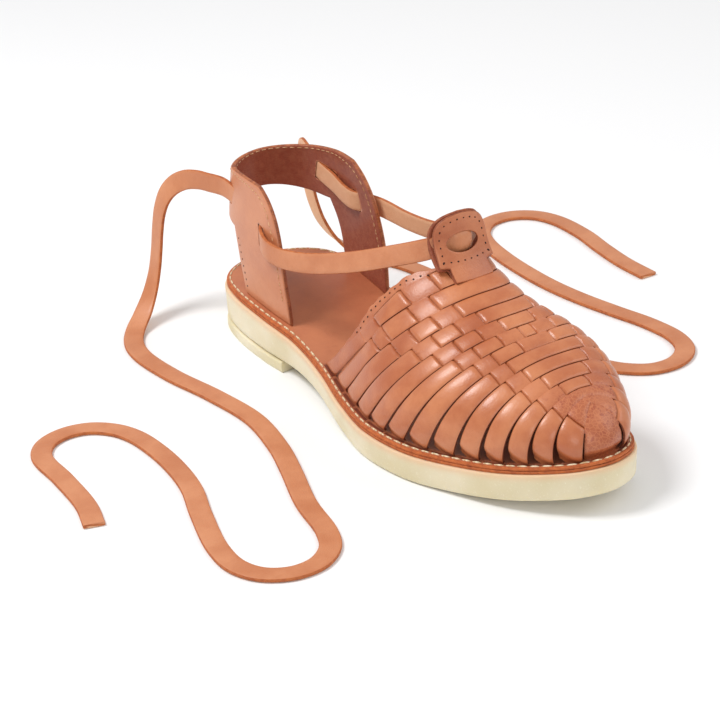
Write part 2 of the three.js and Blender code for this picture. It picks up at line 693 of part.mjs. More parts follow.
function tabWindow() {
  const shape = new THREE.Shape();
  shape.absellipse(0, 0, WINDOW_HALF_WIDTH, WINDOW_HALF_HEIGHT, 0, Math.PI * 2, false, 0);
  const depth = 12;
  const geometry = new THREE.ExtrudeGeometry(shape, { depth, bevelEnabled: false, curveSegments: 8 });
  geometry.rotateX(-Math.PI / 2 + TAB_SLOPE);
  geometry.translate(TAB_X, 158.4, 80.6);
  return geometry;
}

// Flat strap swept along a route. widthAt gives the direction of its width at each point
function strap(points, widths, width, thick) {
  const section = [
    [-0.5, -0.3], [-0.42, -0.5], [0.42, -0.5], [0.5, -0.3],
    [0.5, 0.3], [0.42, 0.5], [-0.42, 0.5], [-0.5, 0.3],
  ];
  const shell = new Shell();
  const rings = points.map((point, n) => {
    const ahead = points[Math.min(n + 1, points.length - 1)];
    const behind = points[Math.max(n - 1, 0)];
    const along = ahead.clone().sub(behind).normalize();
    const wide = widths[n].clone().addScaledVector(along, -widths[n].dot(along)).normalize();
    const up = new THREE.Vector3().crossVectors(along, wide);
    return section.map(([u, v]) => {
      const p = point.clone().addScaledVector(wide, u * width).addScaledVector(up, v * thick);
      return shell.add(p.x, p.y, p.z);
    });
  });
  const count = section.length;
  for (let n = 0; n < rings.length - 1; n += 1) {
    for (let i = 0; i < count; i += 1) {
      const m = (i + 1) % count;
      shell.quad(rings[n][i], rings[n][m], rings[n + 1][m], rings[n + 1][i]);
    }
  }
  const last = rings[rings.length - 1];
  for (let i = 1; i < count - 1; i += 1) {
    shell.triangle(rings[0][0], rings[0][i + 1], rings[0][i]);
    shell.triangle(last[0], last[i], last[i + 1]);
  }
  return shell.geometry();
}

// Samples a route table as a smooth curve
function sampled(route, steps, column) {
  const curve = new THREE.CatmullRomCurve3(
    route.map((row) => new THREE.Vector3(row.x, row.y, row.z)), false, 'centripetal',
  );
  const points = [];
  const values = [];
  for (let n = 0; n <= steps; n += 1) {
    const t = (n / steps) * (route.length - 1);
    const i = Math.min(Math.floor(t), route.length - 2);
    points.push(curve.getPoint(n / steps));
    values.push(mix(route[i][column], route[i + 1][column], t - i));
  }
  return { points, values };
}

function laceSolid(extra) {
  const { points, values } = sampled(LACE, 60, 'turn');
  const widths = values.map((turn) => {
    const lean = THREE.MathUtils.degToRad(turn);
    return new THREE.Vector3(-Math.sin(lean), 0, Math.cos(lean));
  });
  return strap(points, widths, LACE_WIDTH + extra, LACE_THICK + extra);
}

function tieSolid(route, side) {
  const { points, values } = sampled(route, 78, 'flat');
  const widths = values.map((flat, n) => {
    const along = points[Math.min(n + 1, points.length - 1)].clone()
      .sub(points[Math.max(n - 1, 0)]).normalize();
    const level = new THREE.Vector3(0, 0, 1).cross(along).normalize();
    const hanging = new THREE.Vector3(side, 0, 0).cross(along).normalize();
    return hanging.lerp(level, smooth(flat)).normalize();
  });
  return strap(points, widths, LACE_WIDTH, LACE_THICK);
}

// Quarter: an inverted U round the heel, with a leg on each side and the band behind
function quarterWall() {
  const insetAt = through(QUARTER_INSET, 'height', 'inset');
  const legCells = 5;
  const backCells = 14;
  const count = legCells * 2 + backCells;
  const keys = [];
  for (let i = 0; i <= count; i += 1) keys.push(i);
  const outer = [];
  const inner = [];
  LEG.forEach((row, j) => {
    const top = j / (LEG.length - 1);
    const sideOf = (i) => (i <= count / 2 ? 1 : -1);
    const alongOf = (i) => {
      const n = i <= count / 2 ? i : count - i;
      if (n <= legCells) return mix(row.front, row.rear, n / legCells);
      const back = (n - legCells) / (backCells / 2);
      return mix(row.rear, 0, back);
    };
    const corner = (i, depth) => {
      const along = alongOf(i);
      const back = clamp(1 - along / row.rear, 0, 1);
      const fade = 1 - (j - ARCH_ROW) / (LEG.length - ARCH_ROW);
      const rise = j >= ARCH_ROW ? ARCH_RISE * smooth(back) * fade : 0;
      const z0 = j === 0 ? 0 : row.height;
      const dip = BACK_DIP * smooth(1 - along / 45) * top ** 3;
      const inset = insetAt(row.height) + depth;
      const heel = outlineAt(1, 0, inset);
      const share = 1 - back;
      const y = back > 0 ? mix(heel.y, row.rear, 1 - Math.cos((share * Math.PI) / 2)) : along;
      const point = back >= 1 ? heel : outlineAtY(sideOf(i), y, inset);
      const z = j === 0 ? footbedTop(point.y) + GAP : z0 + rise - dip;
      return new THREE.Vector3(point.x, point.y, z);
    };
    outer.push(keys.map((i) => corner(i, 0)));
    inner.push(keys.map((i) => corner(i, QUARTER_WALL)));
  });
  const keep = (j, i) => j >= ARCH_ROW || i < legCells || i >= count - legCells;
  // The grid runs the other way round, so its faces are flipped by swapping the two walls
  return wall(inner, outer, keep, never);
}

function material(color, roughness) {
  return new THREE.MeshStandardMaterial({ color, roughness, metalness: 0 });
}

const crepe = material(0xd9cfa9, 0.85);
const edgeLeather = material(0xb5603a, 0.7);
const footLeather = material(0xb9714f, 0.6);
const upperLeather = material(0xc67c58, 0.45);
const laceLeather = material(0xc98862, 0.6);

const shoe = new THREE.Group();
shoe.position.set(-CENTRE_X, -CENTRE_Y, 0);

function place(name, geometry, finish) {
  const mesh = new THREE.Mesh(geometry, finish);
  mesh.name = name;
  shoe.add(mesh);
}

const laceRoom = solidOf(laceSolid(2 * SLIT_CLEAR));
const quarter = solidOf(quarterWall()).subtract(laceRoom);
const vamp = solidOf(vampWall()).add(solidOf(tabPlate())).subtract(laceRoom).subtract(solidOf(tabWindow()));

place('heel_lift', heelLift(), crepe);
place('outsole', outsole(), crepe);
place('midsole', soleLayer([
  { inset: 1.0, height: (y) => crepeTop(y) + GAP },
  { inset: 1.0, height: midsoleTop },
]), edgeLeather);
place('footbed', soleLayer([
  { inset: 1.1, height: (y) => midsoleTop(y) + GAP },
  { inset: 1.1, height: footbedTop },
]), footLeather);
place('vamp', geometryOf(vamp), upperLeather);
place('quarter', geometryOf(quarter), upperLeather);
place('lace', laceSolid(0), laceLeather);
place('tie_lateral', tieSolid(TIE_LATERAL, 1), laceLeather);
place('tie_medial', tieSolid(TIE_MEDIAL, -1), laceLeather);

export default shoe;
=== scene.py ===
"""Dressed model of a woven leather huarache sandal, right foot.

Shapes are worked out in millimetres in the shoe's own frame, with the back of the heel at y = 0,
+Y to the toe, +X to the lateral side and +Z up. They are centred and turned to metres when a mesh
is made.
"""

import json
import logging
import math
from dataclasses import dataclass, field
from enum import Enum
from typing import Callable, Sequence

import bmesh
import bpy
import numpy as np
from mathutils import Matrix, Vector
from mathutils.kdtree import KDTree

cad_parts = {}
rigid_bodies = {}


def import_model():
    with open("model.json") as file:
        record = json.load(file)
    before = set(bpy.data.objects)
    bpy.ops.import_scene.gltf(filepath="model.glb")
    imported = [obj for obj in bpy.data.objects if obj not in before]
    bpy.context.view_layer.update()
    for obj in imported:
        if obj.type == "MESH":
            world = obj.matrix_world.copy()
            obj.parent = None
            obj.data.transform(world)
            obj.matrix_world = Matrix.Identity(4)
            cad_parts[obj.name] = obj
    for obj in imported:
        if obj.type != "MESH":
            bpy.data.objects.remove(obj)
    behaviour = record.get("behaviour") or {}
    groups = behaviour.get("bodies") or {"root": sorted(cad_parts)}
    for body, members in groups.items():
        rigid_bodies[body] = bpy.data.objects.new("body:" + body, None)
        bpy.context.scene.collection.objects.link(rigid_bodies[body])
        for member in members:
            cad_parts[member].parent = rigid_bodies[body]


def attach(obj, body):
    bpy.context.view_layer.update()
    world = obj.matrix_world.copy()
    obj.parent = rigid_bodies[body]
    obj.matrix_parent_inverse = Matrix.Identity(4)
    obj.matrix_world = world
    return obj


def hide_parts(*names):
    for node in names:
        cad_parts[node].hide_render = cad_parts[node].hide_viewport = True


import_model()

LOG = logging.getLogger("huarache")
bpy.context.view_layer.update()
MM = 0.001
# Middle of the sole's outline on the floor, which becomes the origin
CENTRE = np.array([4.15, 130.45, 0.0])
# Length of the sole, gap between its layers, and thickness of a leather layer
LENGTH = 260.9
GAP = 0.3
LEATHER = 1.15
# How far the vamp stands inside the sole's outline
UPPER_INSET = 3.7
# Row of the weave at the end of the toe piece, and key of the toe's tip on the outline
TOE_ROW = 13.5
TIP_KEY = 14
# Signs of x on the lateral and the medial side
SIDES = (1, -1)


class Side(Enum):
    """Side of the foot, with the sign that its x has."""

    LATERAL = 1
    MEDIAL = -1


def smooth(value: np.ndarray) -> np.ndarray:
    """Eases a step.

    Args:
        value: Share of the step; below 0 and above 1 it is held.

    Returns:
        Share that leaves 0 and reaches 1 gently.
    """
    held = np.clip(value, 0.0, 1.0)
    return held * held * (3.0 - 2.0 * held)


def mix(start: np.ndarray, end: np.ndarray, share: np.ndarray) -> np.ndarray:
    """Blends two values in a straight line.

    Args:
        start: Value at share 0.
        end: Value at share 1.
        share: The share.

    Returns:
        The blend.
    """
    return start + (end - start) * share


def unit(vectors: np.ndarray) -> np.ndarray:
    """Brings vectors to length 1.

    Args:
        vectors: Vectors along the last axis.

    Returns:
        Their directions.
    """
    return vectors / np.maximum(np.linalg.norm(vectors, axis=-1, keepdims=True), 1e-9)


def stack(x: np.ndarray, y: np.ndarray, z: np.ndarray) -> np.ndarray:
    """Joins three coordinates to points.

    Args:
        x: First coordinates.
        y: Second coordinates.
        z: Third coordinates.

    Returns:
        The points, along a new last axis.
    """
    return np.stack(np.broadcast_arrays(x, y, z), axis=-1).astype(float)


def rising(values: np.ndarray) -> np.ndarray:
    """Makes a line of values rise at every step, so that it can be looked up.

    Args:
        values: The line.

    Returns:
        The line without its falls.
    """
    return np.maximum.accumulate(values) + np.arange(len(values)) * 1e-9


def hermite(t: np.ndarray, start: np.ndarray, end: np.ndarray, leaving: np.ndarray,
            arriving: np.ndarray) -> np.ndarray:
    """Cubic curve between two values.

    Args:
        t: Place along it, from 0 to 1.
        start: Value at 0.
        end: Value at 1.
        leaving: Slope at 0.
        arriving: Slope at 1.

    Returns:
        Its values.
    """
    return (
        (2 * t**3 - 3 * t**2 + 1) * start
        + (3 * t**2 - 2 * t**3) * end
        + (t**3 - 2 * t**2 + t) * leaving
        + (t**3 - t**2) * arriving
    )


class TableCurve:
    """Smooth curve through the rows of a table, keyed by its first column."""

    def __init__(self, rows: Sequence[Sequence[float]]) -> None:
        """Stores the table and the slope at each key.

        Args:
            rows: A rising key and then its values, for each row.
        """
        table = np.asarray(rows, float)
        self.keys, self.values = table[:, 0], table[:, 1:]
        order = np.arange(len(self.keys))
        before, after = np.maximum(order - 1, 0), np.minimum(order + 1, len(order) - 1)
        span = (self.keys[after] - self.keys[before])[:, None]
        self.slopes = (self.values[after] - self.values[before]) / span

    def __call__(self, value: np.ndarray) -> np.ndarray:
        """Value of the curve.

        Args:
            value: Keys at which it is wanted.

        Returns:
            An array of the keys' shape, with one more axis if a row has several values.
        """
        held = np.clip(np.asarray(value, float), self.keys[0], self.keys[-1])
        i = np.clip(np.searchsorted(self.keys, held, side="left") - 1, 0, len(self.keys) - 2)
        width = self.keys[i + 1] - self.keys[i]
        t = ((held - self.keys[i]) / width)[..., None]
        leaving, arriving = (width[..., None] * self.slopes[key] for key in (i, i + 1))
        found = hermite(t, self.values[i], self.values[i + 1], leaving, arriving)
        return found[..., 0] if self.values.shape[1] == 1 else found


def spline(points: Sequence, share: np.ndarray, closed: bool) -> np.ndarray:
    """Centripetal curve through points.

    Args:
        points: The points it passes through.
        share: Places along it, from 0 to 1.
        closed: Whether it joins its own start.

    Returns:
        One point for each place.
    """
    given = np.asarray(points, float)
    count = len(given)
    share = np.asarray(share, float)
    if closed:
        place = (share % 1.0) * count
        i = np.floor(place).astype(int) % count
        t = (place - np.floor(place))[..., None]
        a, b, c, d = (given[(i + step) % count] for step in (-1, 0, 1, 2))
    else:
        given = np.vstack([2 * given[0] - given[1], given, 2 * given[-1] - given[-2]])
        place = np.clip(share, 0, 1) * (count - 1)
        i = np.minimum(np.floor(place).astype(int), count - 2)
        t = (place - i)[..., None]
        a, b, c, d = (given[i + step] for step in (0, 1, 2, 3))
    roots = (np.sqrt(np.linalg.norm(q - p, axis=-1, keepdims=True)) for p, q in ((a, b), (b, c), (c, d)))
    d0, d1, d2 = (np.maximum(root, 1e-4) for root in roots)
    leaving = ((b - a) / d0 - (c - a) / (d0 + d1) + (c - b) / d1) * d1
    arriving = ((c - b) / d1 - (d - b) / (d1 + d2) + (d - c) / d2) * d1
    return hermite(t, b, c, leaving, arriving)


# Meshes

SHARP_ANGLE = 42.0
# Most of a sheet's thickness that a rounded edge may take, and share of its radius that shows raw leather
MOST_PINCH = 0.42
RAW_SHARE = 0.6
# Outline of a flat strap's section, as shares of width and thickness
STRAP_SECTION = np.array([
    (-0.5, -0.2), (-0.485, -0.38), (-0.45, -0.49), (-0.3, -0.5), (0, -0.5), (0.3, -0.5), (0.45, -0.49),
    (0.485, -0.38), (0.5, -0.2), (0.5, 0.2), (0.485, 0.38), (0.45, 0.49), (0.3, 0.5), (0, 0.5),
    (-0.3, 0.5), (-0.45, 0.49), (-0.485, 0.38), (-0.5, 0.2),
])


def to_frame(points: np.ndarray) -> np.ndarray:
    """Moves points from the shoe's own frame to the model's.

    Args:
        points: Points in mm.

    Returns:
        Centred points in metres.
    """
    return (np.asarray(points, float) - CENTRE) * MM


def add_object(name: str, data: bpy.types.ID) -> bpy.types.Object:
    """Adds an object to the scene.

    Args:
        name: Its name.
        data: Its mesh, camera or light.

    Returns:
        The object, at the origin.
    """
    made = bpy.data.objects.new(name, data)
    bpy.context.scene.collection.objects.link(made)
    return made


def shade(mesh: bpy.types.Mesh) -> None:
    """Shades a mesh smooth, with crisp edges past the sharp angle.

    Args:
        mesh: The mesh.
    """
    mesh.shade_smooth()
    mesh.set_sharp_from_angle(angle=math.radians(SHARP_ANGLE))


def weld_mesh(mesh: bpy.types.Mesh, distance: float) -> None:
    """Joins vertices that lie close together.

    Args:
        mesh: The mesh.
        distance: How close, in mm.
    """
    shape = bmesh.new()
    shape.from_mesh(mesh)
    bmesh.ops.remove_doubles(shape, verts=shape.verts, dist=distance * MM)
    shape.to_mesh(mesh)
    shape.free()


def bake(piece: bpy.types.Object) -> None:
    """Turns a piece and its modifiers into a plain mesh.

    Args:
        piece: The piece.
    """
    graph = bpy.context.evaluated_depsgraph_get()
    graph.update()
    made = bpy.data.meshes.new_from_object(piece.evaluated_get(graph), depsgraph=graph)
    made.name = piece.name
    piece.modifiers.clear()
    old = piece.data
    piece.data = made
    bpy.data.meshes.remove(old)


@dataclass
class Body:
    """Vertices and faces of one closed piece, with values that its finish reads."""

    points: np.ndarray
    faces: list
    marks: dict = field(default_factory=dict)

    def joined(self, other: "Body") -> "Body":
        """Joins another body to this one.

        Args:
            other: The other body, with the same marks.

        Returns:
            Both as one.
        """
        shift = len(self.points)
        faces = self.faces + [tuple(v + shift for v in face) for face in other.faces]
        marks = {name: np.r_[values, other.marks[name]] for name, values in self.marks.items()}
        return Body(np.vstack([self.points, other.points]), faces, marks)

    def make(self, name: str, finish: bpy.types.Material, weld: float = 0.0) -> bpy.types.Object:
        """Makes the object.

        Args:
            name: Name of the piece.
            finish: Its material.
            weld: Distance in mm within which vertices are joined, or 0.

        Returns:
            The object, at the origin.
        """
        mesh = bpy.data.meshes.new(name)
        mesh.from_pydata(to_frame(self.points).tolist(), [], self.faces)
        for mark, values in self.marks.items():
            layer = mesh.attributes.new(mark, "FLOAT", "POINT")
            layer.data.foreach_set("value", np.asarray(values, np.float32))
        piece = add_object(name, mesh)
        if weld:
            weld_mesh(mesh, weld)
        mesh.validate()
        shade(mesh)
        mesh.materials.append(finish)
        return piece


def skin_faces(ids: np.ndarray, keep: np.ndarray) -> list:
    """Faces of an outer skin over a grid, and of the inner skin behind it.

    Args:
        ids: Numbers of the outer skin's vertices; the inner skin's follow them.
        keep: Which cells have faces.

    Returns:
        The faces, the inner ones turned round.
    """
    shift = ids.size
    a, b = ids[:-1, :-1][keep], ids[:-1, 1:][keep]
    c, d = ids[1:, 1:][keep], ids[1:, :-1][keep]
    return [*zip(a, b, c, d), *zip(d + shift, c + shift, b + shift, a + shift)]


def ring_faces(rings: int, count: int) -> list:
    """Faces between closed rings of vertices.

    Args:
        rings: Number of rings.
        count: Vertices in each.

    Returns:
        The faces, ring by ring.
    """
    faces = []
    for first in range(0, (rings - 1) * count, count):
        for i in range(count):
            after = (i + 1) % count
            faces.append((first + i, first + after, first + count + after, first + count + i))
    return faces


def sheet_body(grid: np.ndarray, normals: np.ndarray, top: np.ndarray, bottom: np.ndarray,
               keep: np.ndarray, rounding: float, marks: dict | None = None, folded: bool = False) -> Body:
    """Leather sheet over a grid, with rounded cut edges.

    Args:
        grid: Points of the surface, rows by columns.
        normals: Outward directions at them.
        top: Height of the outer face over the surface.
        bottom: Height of the inner face.
        keep: Which cells are leather.
        rounding: Radius of the cut edges in mm.
        marks: More values for the finish, one for each grid point.
        folded: Whether the last row's two halves meet, so that it is no cut edge.

    Returns:
        The closed body, marked with edge, flesh and the given marks.
    """
    rows, columns = grid.shape[:2]
    ids = np.arange(rows * columns).reshape(rows, columns)
    padded = np.zeros((rows + 1, columns + 1), bool)
    padded[1:-1, 1:-1] = keep
    if folded:
        padded[-1] = padded[-2]
    around = np.stack([padded[:-1, :-1], padded[:-1, 1:], padded[1:, :-1], padded[1:, 1:]])
    used = around.any(0)
    rim = used & ~around.all(0)
    tree = KDTree(int(rim.sum()))
    for n, point in enumerate(grid[rim]):
        tree.insert(point, n)
    tree.balance()
    away = np.full((rows, columns), np.inf)
    for j, i in zip(*np.nonzero(used)):
        away[j, i] = tree.find(grid[j, i])[2]
    inside = np.clip(1 - away / rounding, 0, 1)
    pinch = rounding * (1 - np.sqrt(1 - inside**2))
    thick = np.minimum(pinch, (top - bottom) * MOST_PINCH)
    points = np.vstack([
        (grid + normals * (top - thick)[..., None]).reshape(-1, 3),
        (grid + normals * (bottom + thick)[..., None]).reshape(-1, 3),
    ])
    shift = ids.size
    faces = skin_faces(ids, keep)
    low, high = padded[:-1, 1:-1], padded[1:, 1:-1]
    for j, i in zip(*np.nonzero(low != high)):
        p, q = (ids[j, i], ids[j, i + 1]) if high[j, i] else (ids[j, i + 1], ids[j, i])
        faces.append((q, p, p + shift, q + shift))
    left, right = padded[1:-1, :-1], padded[1:-1, 1:]
    for j, i in zip(*np.nonzero(left != right)):
        p, q = (ids[j + 1, i], ids[j, i]) if right[j, i] else (ids[j, i], ids[j + 1, i])
        faces.append((q, p, p + shift, q + shift))
    raw = np.clip(1 - away / (rounding * RAW_SHARE), 0, 1)
    found = {"edge": np.tile(raw.reshape(-1), 2), "flesh": np.r_[np.zeros(shift), np.ones(shift)]}
    for name, values in (marks or {}).items():
        found[name] = np.tile(np.asarray(values).reshape(-1), 2)
    return compact(Body(points, faces, found))


def compact(body: Body) -> Body:
    """Leaves out unused vertices.

    Args:
        body: The body.

    Returns:
        The same body with only the vertices that its faces use.
    """
    corners = np.fromiter((v for face in body.faces for v in face), int)
    used, index = np.unique(corners, return_inverse=True)
    faces, at = [], 0
    for face in body.faces:
        faces.append(tuple(int(v) for v in index[at:at + len(face)]))
        at += len(face)
    marks = {name: np.asarray(values)[used] for name, values in body.marks.items()}
    return Body(body.points[used], faces, marks)


def loop_stack(rings: np.ndarray, paired: bool) -> Body:
    """Closed body from a stack of rings, lowest first, each counterclockwise from above.

    Args:
        rings: Points, rings by places.
        paired: Whether the caps join mirrored places; otherwise each cap is one face.

    Returns:
        The body.
    """
    levels, count = rings.shape[:2]
    faces = ring_faces(levels, count)
    top = (levels - 1) * count
    if paired:
        for i in range(count // 2):
            m, n = (count - i) % count, (count - i - 1) % count
            faces.append(tuple(dict.fromkeys((top + i, top + i + 1, top + n, top + m))))
            faces.append(tuple(dict.fromkeys((m, n, i + 1, i))))
    else:
        faces.append(tuple(range(top, top + count)))
        faces.append(tuple(range(count - 1, -1, -1)))
    return Body(rings.reshape(-1, 3), faces)


def strap_body(points: np.ndarray, widths: np.ndarray, width: np.ndarray, thick: np.ndarray,
               rolled: np.ndarray) -> Body:
    """Flat strap swept along a line, with rounded cut edges.

    Args:
        points: Its middle line.
        widths: Direction of its width at each point.
        width: Width at each point.
        thick: Thickness at each point.
        rolled: 1 where the strap is rolled round, 0 where it is flat.

    Returns:
        The closed body, marked with edge and flesh.
    """
    across, tall = STRAP_SECTION.T
    along = unit(np.gradient(points, axis=0))
    wide = unit(widths - along * (widths * along).sum(-1, keepdims=True))
    up = np.cross(along, wide)
    arch = np.sqrt(1 - (2 * across) ** 2 * 0.96)
    lift = tall * mix(1.0, arch, rolled[:, None])
    rings = (
        points[:, None]
        + wide[:, None] * (across[None, :, None] * width[:, None, None])
        + up[:, None] * (lift[:, :, None] * thick[:, None, None])
    )
    count = len(STRAP_SECTION)
    faces = ring_faces(len(points), count)
    last = (len(points) - 1) * count
    faces.append(tuple(range(count - 1, -1, -1)))
    faces.append(tuple(range(last, last + count)))
    marks = {
        "edge": np.tile((np.abs(across) > 0.48).astype(float), len(points)),
        "flesh": np.tile((tall < 0).astype(float), len(points)),
    }
    return Body(rings.reshape(-1, 3), faces, marks)


def cut(piece: bpy.types.Object, tool: Body) -> None:
    """Cuts a body out of a piece, for good.

    Args:
        piece: The piece.
        tool: What is taken out of it.
    """
    cutter = tool.make("cutter", piece.data.materials[0])
    knife = piece.modifiers.new("cut", "BOOLEAN")
    knife.operation, knife.solver, knife.object = "DIFFERENCE", "EXACT", cutter
    bake(piece)
    shade(piece.data)
    weld_mesh(piece.data, 0.01)
    spare = cutter.data
    bpy.data.objects.remove(cutter)
    bpy.data.meshes.remove(spare)


# Finishes

VECTOR = "ShaderNodeVectorMath"


class Graph:
    """Adds nodes to one tree and links them."""

    def __init__(self, tree: bpy.types.NodeTree) -> None:
        """Keeps the tree.

        Args:
            tree: The tree.
        """
        self.tree = tree

    def feed(self, node: bpy.types.Node, sockets: dict) -> None:
        """Gives a node its inputs.

        Args:
            node: The node.
            sockets: Inputs by name or number: a value, or another node's output to link.
        """
        for name, value in sockets.items():
            if isinstance(value, bpy.types.NodeSocket):
                self.tree.links.new(value, node.inputs[name])
            else:
                node.inputs[name].default_value = value

    def add(self, kind: str, sockets: dict | None = None, **settings: object) -> bpy.types.Node:
        """Adds a node.

        Args:
            kind: Blender's name of the node.
            sockets: Its inputs, as feed takes them.
            settings: The node's own properties.

        Returns:
            The node.
        """
        node = self.tree.nodes.new(kind)
        for name, value in settings.items():
            setattr(node, name, value)
        self.feed(node, sockets or {})
        return node

    def math(self, operation: str, first: object, second: object,
             kind: str = "ShaderNodeMath") -> bpy.types.NodeSocket:
        """Adds a Math node, of numbers or vectors.

        Args:
            operation: What it does.
            first: First value or output.
            second: Second value or output.
            kind: Name of the node.

        Returns:
            Its output.
        """
        return self.add(kind, {0: first, 1: second}, operation=operation).outputs[0]

    def ramp(self, value: object, low: float, high: float, start: float = 0.0,
             end: float = 1.0) -> bpy.types.NodeSocket:
        """Adds a smooth change of range.

        Args:
            value: What is changed.
            low: Value that becomes start.
            high: Value that becomes end.
            start: Lower result.
            end: Upper result.

        Returns:
            Its output.
        """
        sockets = {"Value": value, "From Min": low, "From Max": high, "To Min": start, "To Max": end}
        return self.add("ShaderNodeMapRange", sockets, interpolation_type="SMOOTHSTEP").outputs["Result"]

    def blend(self, share: object, first: object, second: object) -> bpy.types.NodeSocket:
        """Adds a blend of two colours.

        Args:
            share: Share of the second colour.
            first: Colour at share 0.
            second: Colour at share 1.

        Returns:
            Its output.
        """
        return self.add("ShaderNodeMix", {0: share, 6: first, 7: second}, data_type="RGBA").outputs[2]

    def noise(self, where: object, scale: object, detail: float, roughness: float = 0.5,
              distortion: float = 0.0) -> bpy.types.Node:
        """Adds a noise texture.

        Args:
            where: Its coordinates.
            scale: Its scale.
            detail: How many finer layers it has.
            roughness: How strong they are.
            distortion: How far it is bent.

        Returns:
            The node.
        """
        sockets = {"Vector": where, "Scale": scale, "Detail": detail}
        return self.add("ShaderNodeTexNoise", {**sockets, "Roughness": roughness, "Distortion": distortion})

    def cells(self, where: object, scale: object, feature: str) -> bpy.types.NodeSocket:
        """Adds a cell texture.

        Args:
            where: Its coordinates.
            scale: Its scale.
            feature: What its distance is measured from.

        Returns:
            Its distance output.
        """
        node = self.add("ShaderNodeTexVoronoi", {"Vector": where, "Scale": scale}, feature=feature)
        return node.outputs["Distance"]

    def bump(self, height: object, strength: float, distance: float) -> bpy.types.NodeSocket:
        """Adds a bump.

        Args:
            height: Height output.
            strength: How strong it is.
            distance: Height in metres that it stands for.

        Returns:
            Its normal output.
        """
        sockets = {"Height": height, "Strength": strength, "Distance": distance}
        return self.add("ShaderNodeBump", sockets).outputs[0]

    def effect(self, group: bpy.types.NodeTree, sockets: dict | None = None) -> bpy.types.bpy_prop_collection:
        """Adds a shared group in object coordinates.

        Args:
            group: The group.
            sockets: Inputs that differ from the group's own values.

        Returns:
            Its outputs.
        """
        where = self.add("ShaderNodeTexCoord").outputs["Object"]
        return self.add("ShaderNodeGroup", {"Vector": where, **(sockets or {})}, node_tree=group).outputs

    def mark(self, name: str) -> bpy.types.NodeSocket:
        """Reads a value stored on the mesh.

        Args:
            name: Name of the value.

        Returns:
            Its output.
        """
        return self.add("ShaderNodeAttribute", attribute_name=name).outputs["Fac"]


def shader_group(name: str, inputs: dict,
                 outputs: Sequence[str]) -> tuple[Graph, bpy.types.Node, bpy.types.Node]:
    """Starts a shader node group.

    Args:
        name: Its name.
        inputs: Default value by input name; a tuple is a vector.
        outputs: Names of its number outputs.

    Returns:
        Its graph, and its input and output nodes.
    """
    tree = bpy.data.node_groups.new(name, "ShaderNodeTree")
    for label, value in inputs.items():
        kind = "NodeSocketVector" if isinstance(value, tuple) else "NodeSocketFloat"
        socket = tree.interface.new_socket(name=label, in_out="INPUT", socket_type=kind)
        socket.default_value = value
    for label in outputs:
        tree.interface.new_socket(name=label, in_out="OUTPUT", socket_type="NodeSocketFloat")
    graph = Graph(tree)
    return graph, graph.add("NodeGroupInput"), graph.add("NodeGroupOutput")


def grain_group() -> bpy.types.NodeTree:
    """Leather grain: pebbles, soft creases, cloudy tone and a net of fine lines.

    Returns:
        The group, with Height, Tone, Patch and Net outputs.
    """
    inputs = {"Vector": (0.0, 0.0, 0.0), "Pebble Scale": 900.0, "Cloud Scale": 60.0, "Crease": 0.3}
    g, start, end = shader_group("leather_grain", inputs, ("Height", "Tone", "Patch", "Net"))
    where = start.outputs["Vector"]
    cloud = g.noise(where, start.outputs["Cloud Scale"], 5.0, 0.6)
    warp = g.math("MULTIPLY", cloud.outputs["Color"], (0.0012, 0.0012, 0.0012), VECTOR)
    bent = g.math("ADD", where, warp, VECTOR)
    pebbles = g.ramp(g.cells(bent, start.outputs["Pebble Scale"], "DISTANCE_TO_EDGE"), 0.0, 0.28)
    fine = g.noise(where, 2600.0, 3.0, 0.55).outputs["Fac"]
    creases = g.noise(bent, 240.0, 4.0, 0.55, 1.2).outputs["Fac"]
    fold = g.math("MULTIPLY", g.ramp(creases, 0.42, 0.62), start.outputs["Crease"])
    height = g.math("ADD", g.math("MULTIPLY", pebbles, 0.35), g.math("MULTIPLY", fine, 0.3))
    g.feed(end, {
        "Height": g.math("ADD", height, fold),
        "Tone": g.ramp(cloud.outputs["Fac"], 0.3, 0.7),
        "Patch": g.ramp(creases, 0.5, 0.7),
        "Net": g.cells(bent, 620.0, "DISTANCE_TO_EDGE"),
    })
    return g.tree


def fibre_group() -> bpy.types.NodeTree:
    """Raw leather: short matted fibres and layers.

    Returns:
        The group, with Height and Tone outputs.
    """
    inputs = {"Vector": (0.0, 0.0, 0.0), "Fibre Scale": 1500.0}
    g, start, end = shader_group("raw_fibre", inputs, ("Height", "Tone"))
    where = start.outputs["Vector"]
    layered = g.math("MULTIPLY", where, (0.35, 0.35, 2.6), VECTOR)
    fibres = g.noise(layered, start.outputs["Fibre Scale"], 4.0, 0.7).outputs["Fac"]
    patches = g.noise(where, 330.0, 3.0, 0.6).outputs["Fac"]
    tone = g.math("ADD", g.math("MULTIPLY", fibres, 0.6), g.math("MULTIPLY", patches, 0.5))
    g.feed(end, {"Height": fibres, "Tone": g.ramp(tone, 0.35, 0.75)})
    return g.tree


def crumb_group() -> bpy.types.NodeTree:
    """Crepe rubber: fine crumb, pinholes and bright specks.

    Returns:
        The group, with Height, Speck and Cloud outputs.
    """
    inputs = {"Vector": (0.0, 0.0, 0.0), "Crumb Scale": 1100.0}
    g, start, end = shader_group("crepe_crumb", inputs, ("Height", "Speck", "Cloud"))
    where, scale = start.outputs["Vector"], start.outputs["Crumb Scale"]
    crumb = g.noise(where, scale, 5.0, 0.7).outputs["Fac"]
    cloud = g.noise(where, 28.0, 3.0).outputs["Fac"]
    pits = g.ramp(g.cells(where, scale, "F1"), 0.05, 0.3)
    g.feed(end, {
        "Height": g.math("ADD", g.math("MULTIPLY", crumb, 0.7), g.math("MULTIPLY", pits, 0.3)),
        "Speck": g.ramp(crumb, 0.56, 0.72),
        "Cloud": g.ramp(cloud, 0.35, 0.65),
    })
    return g.tree


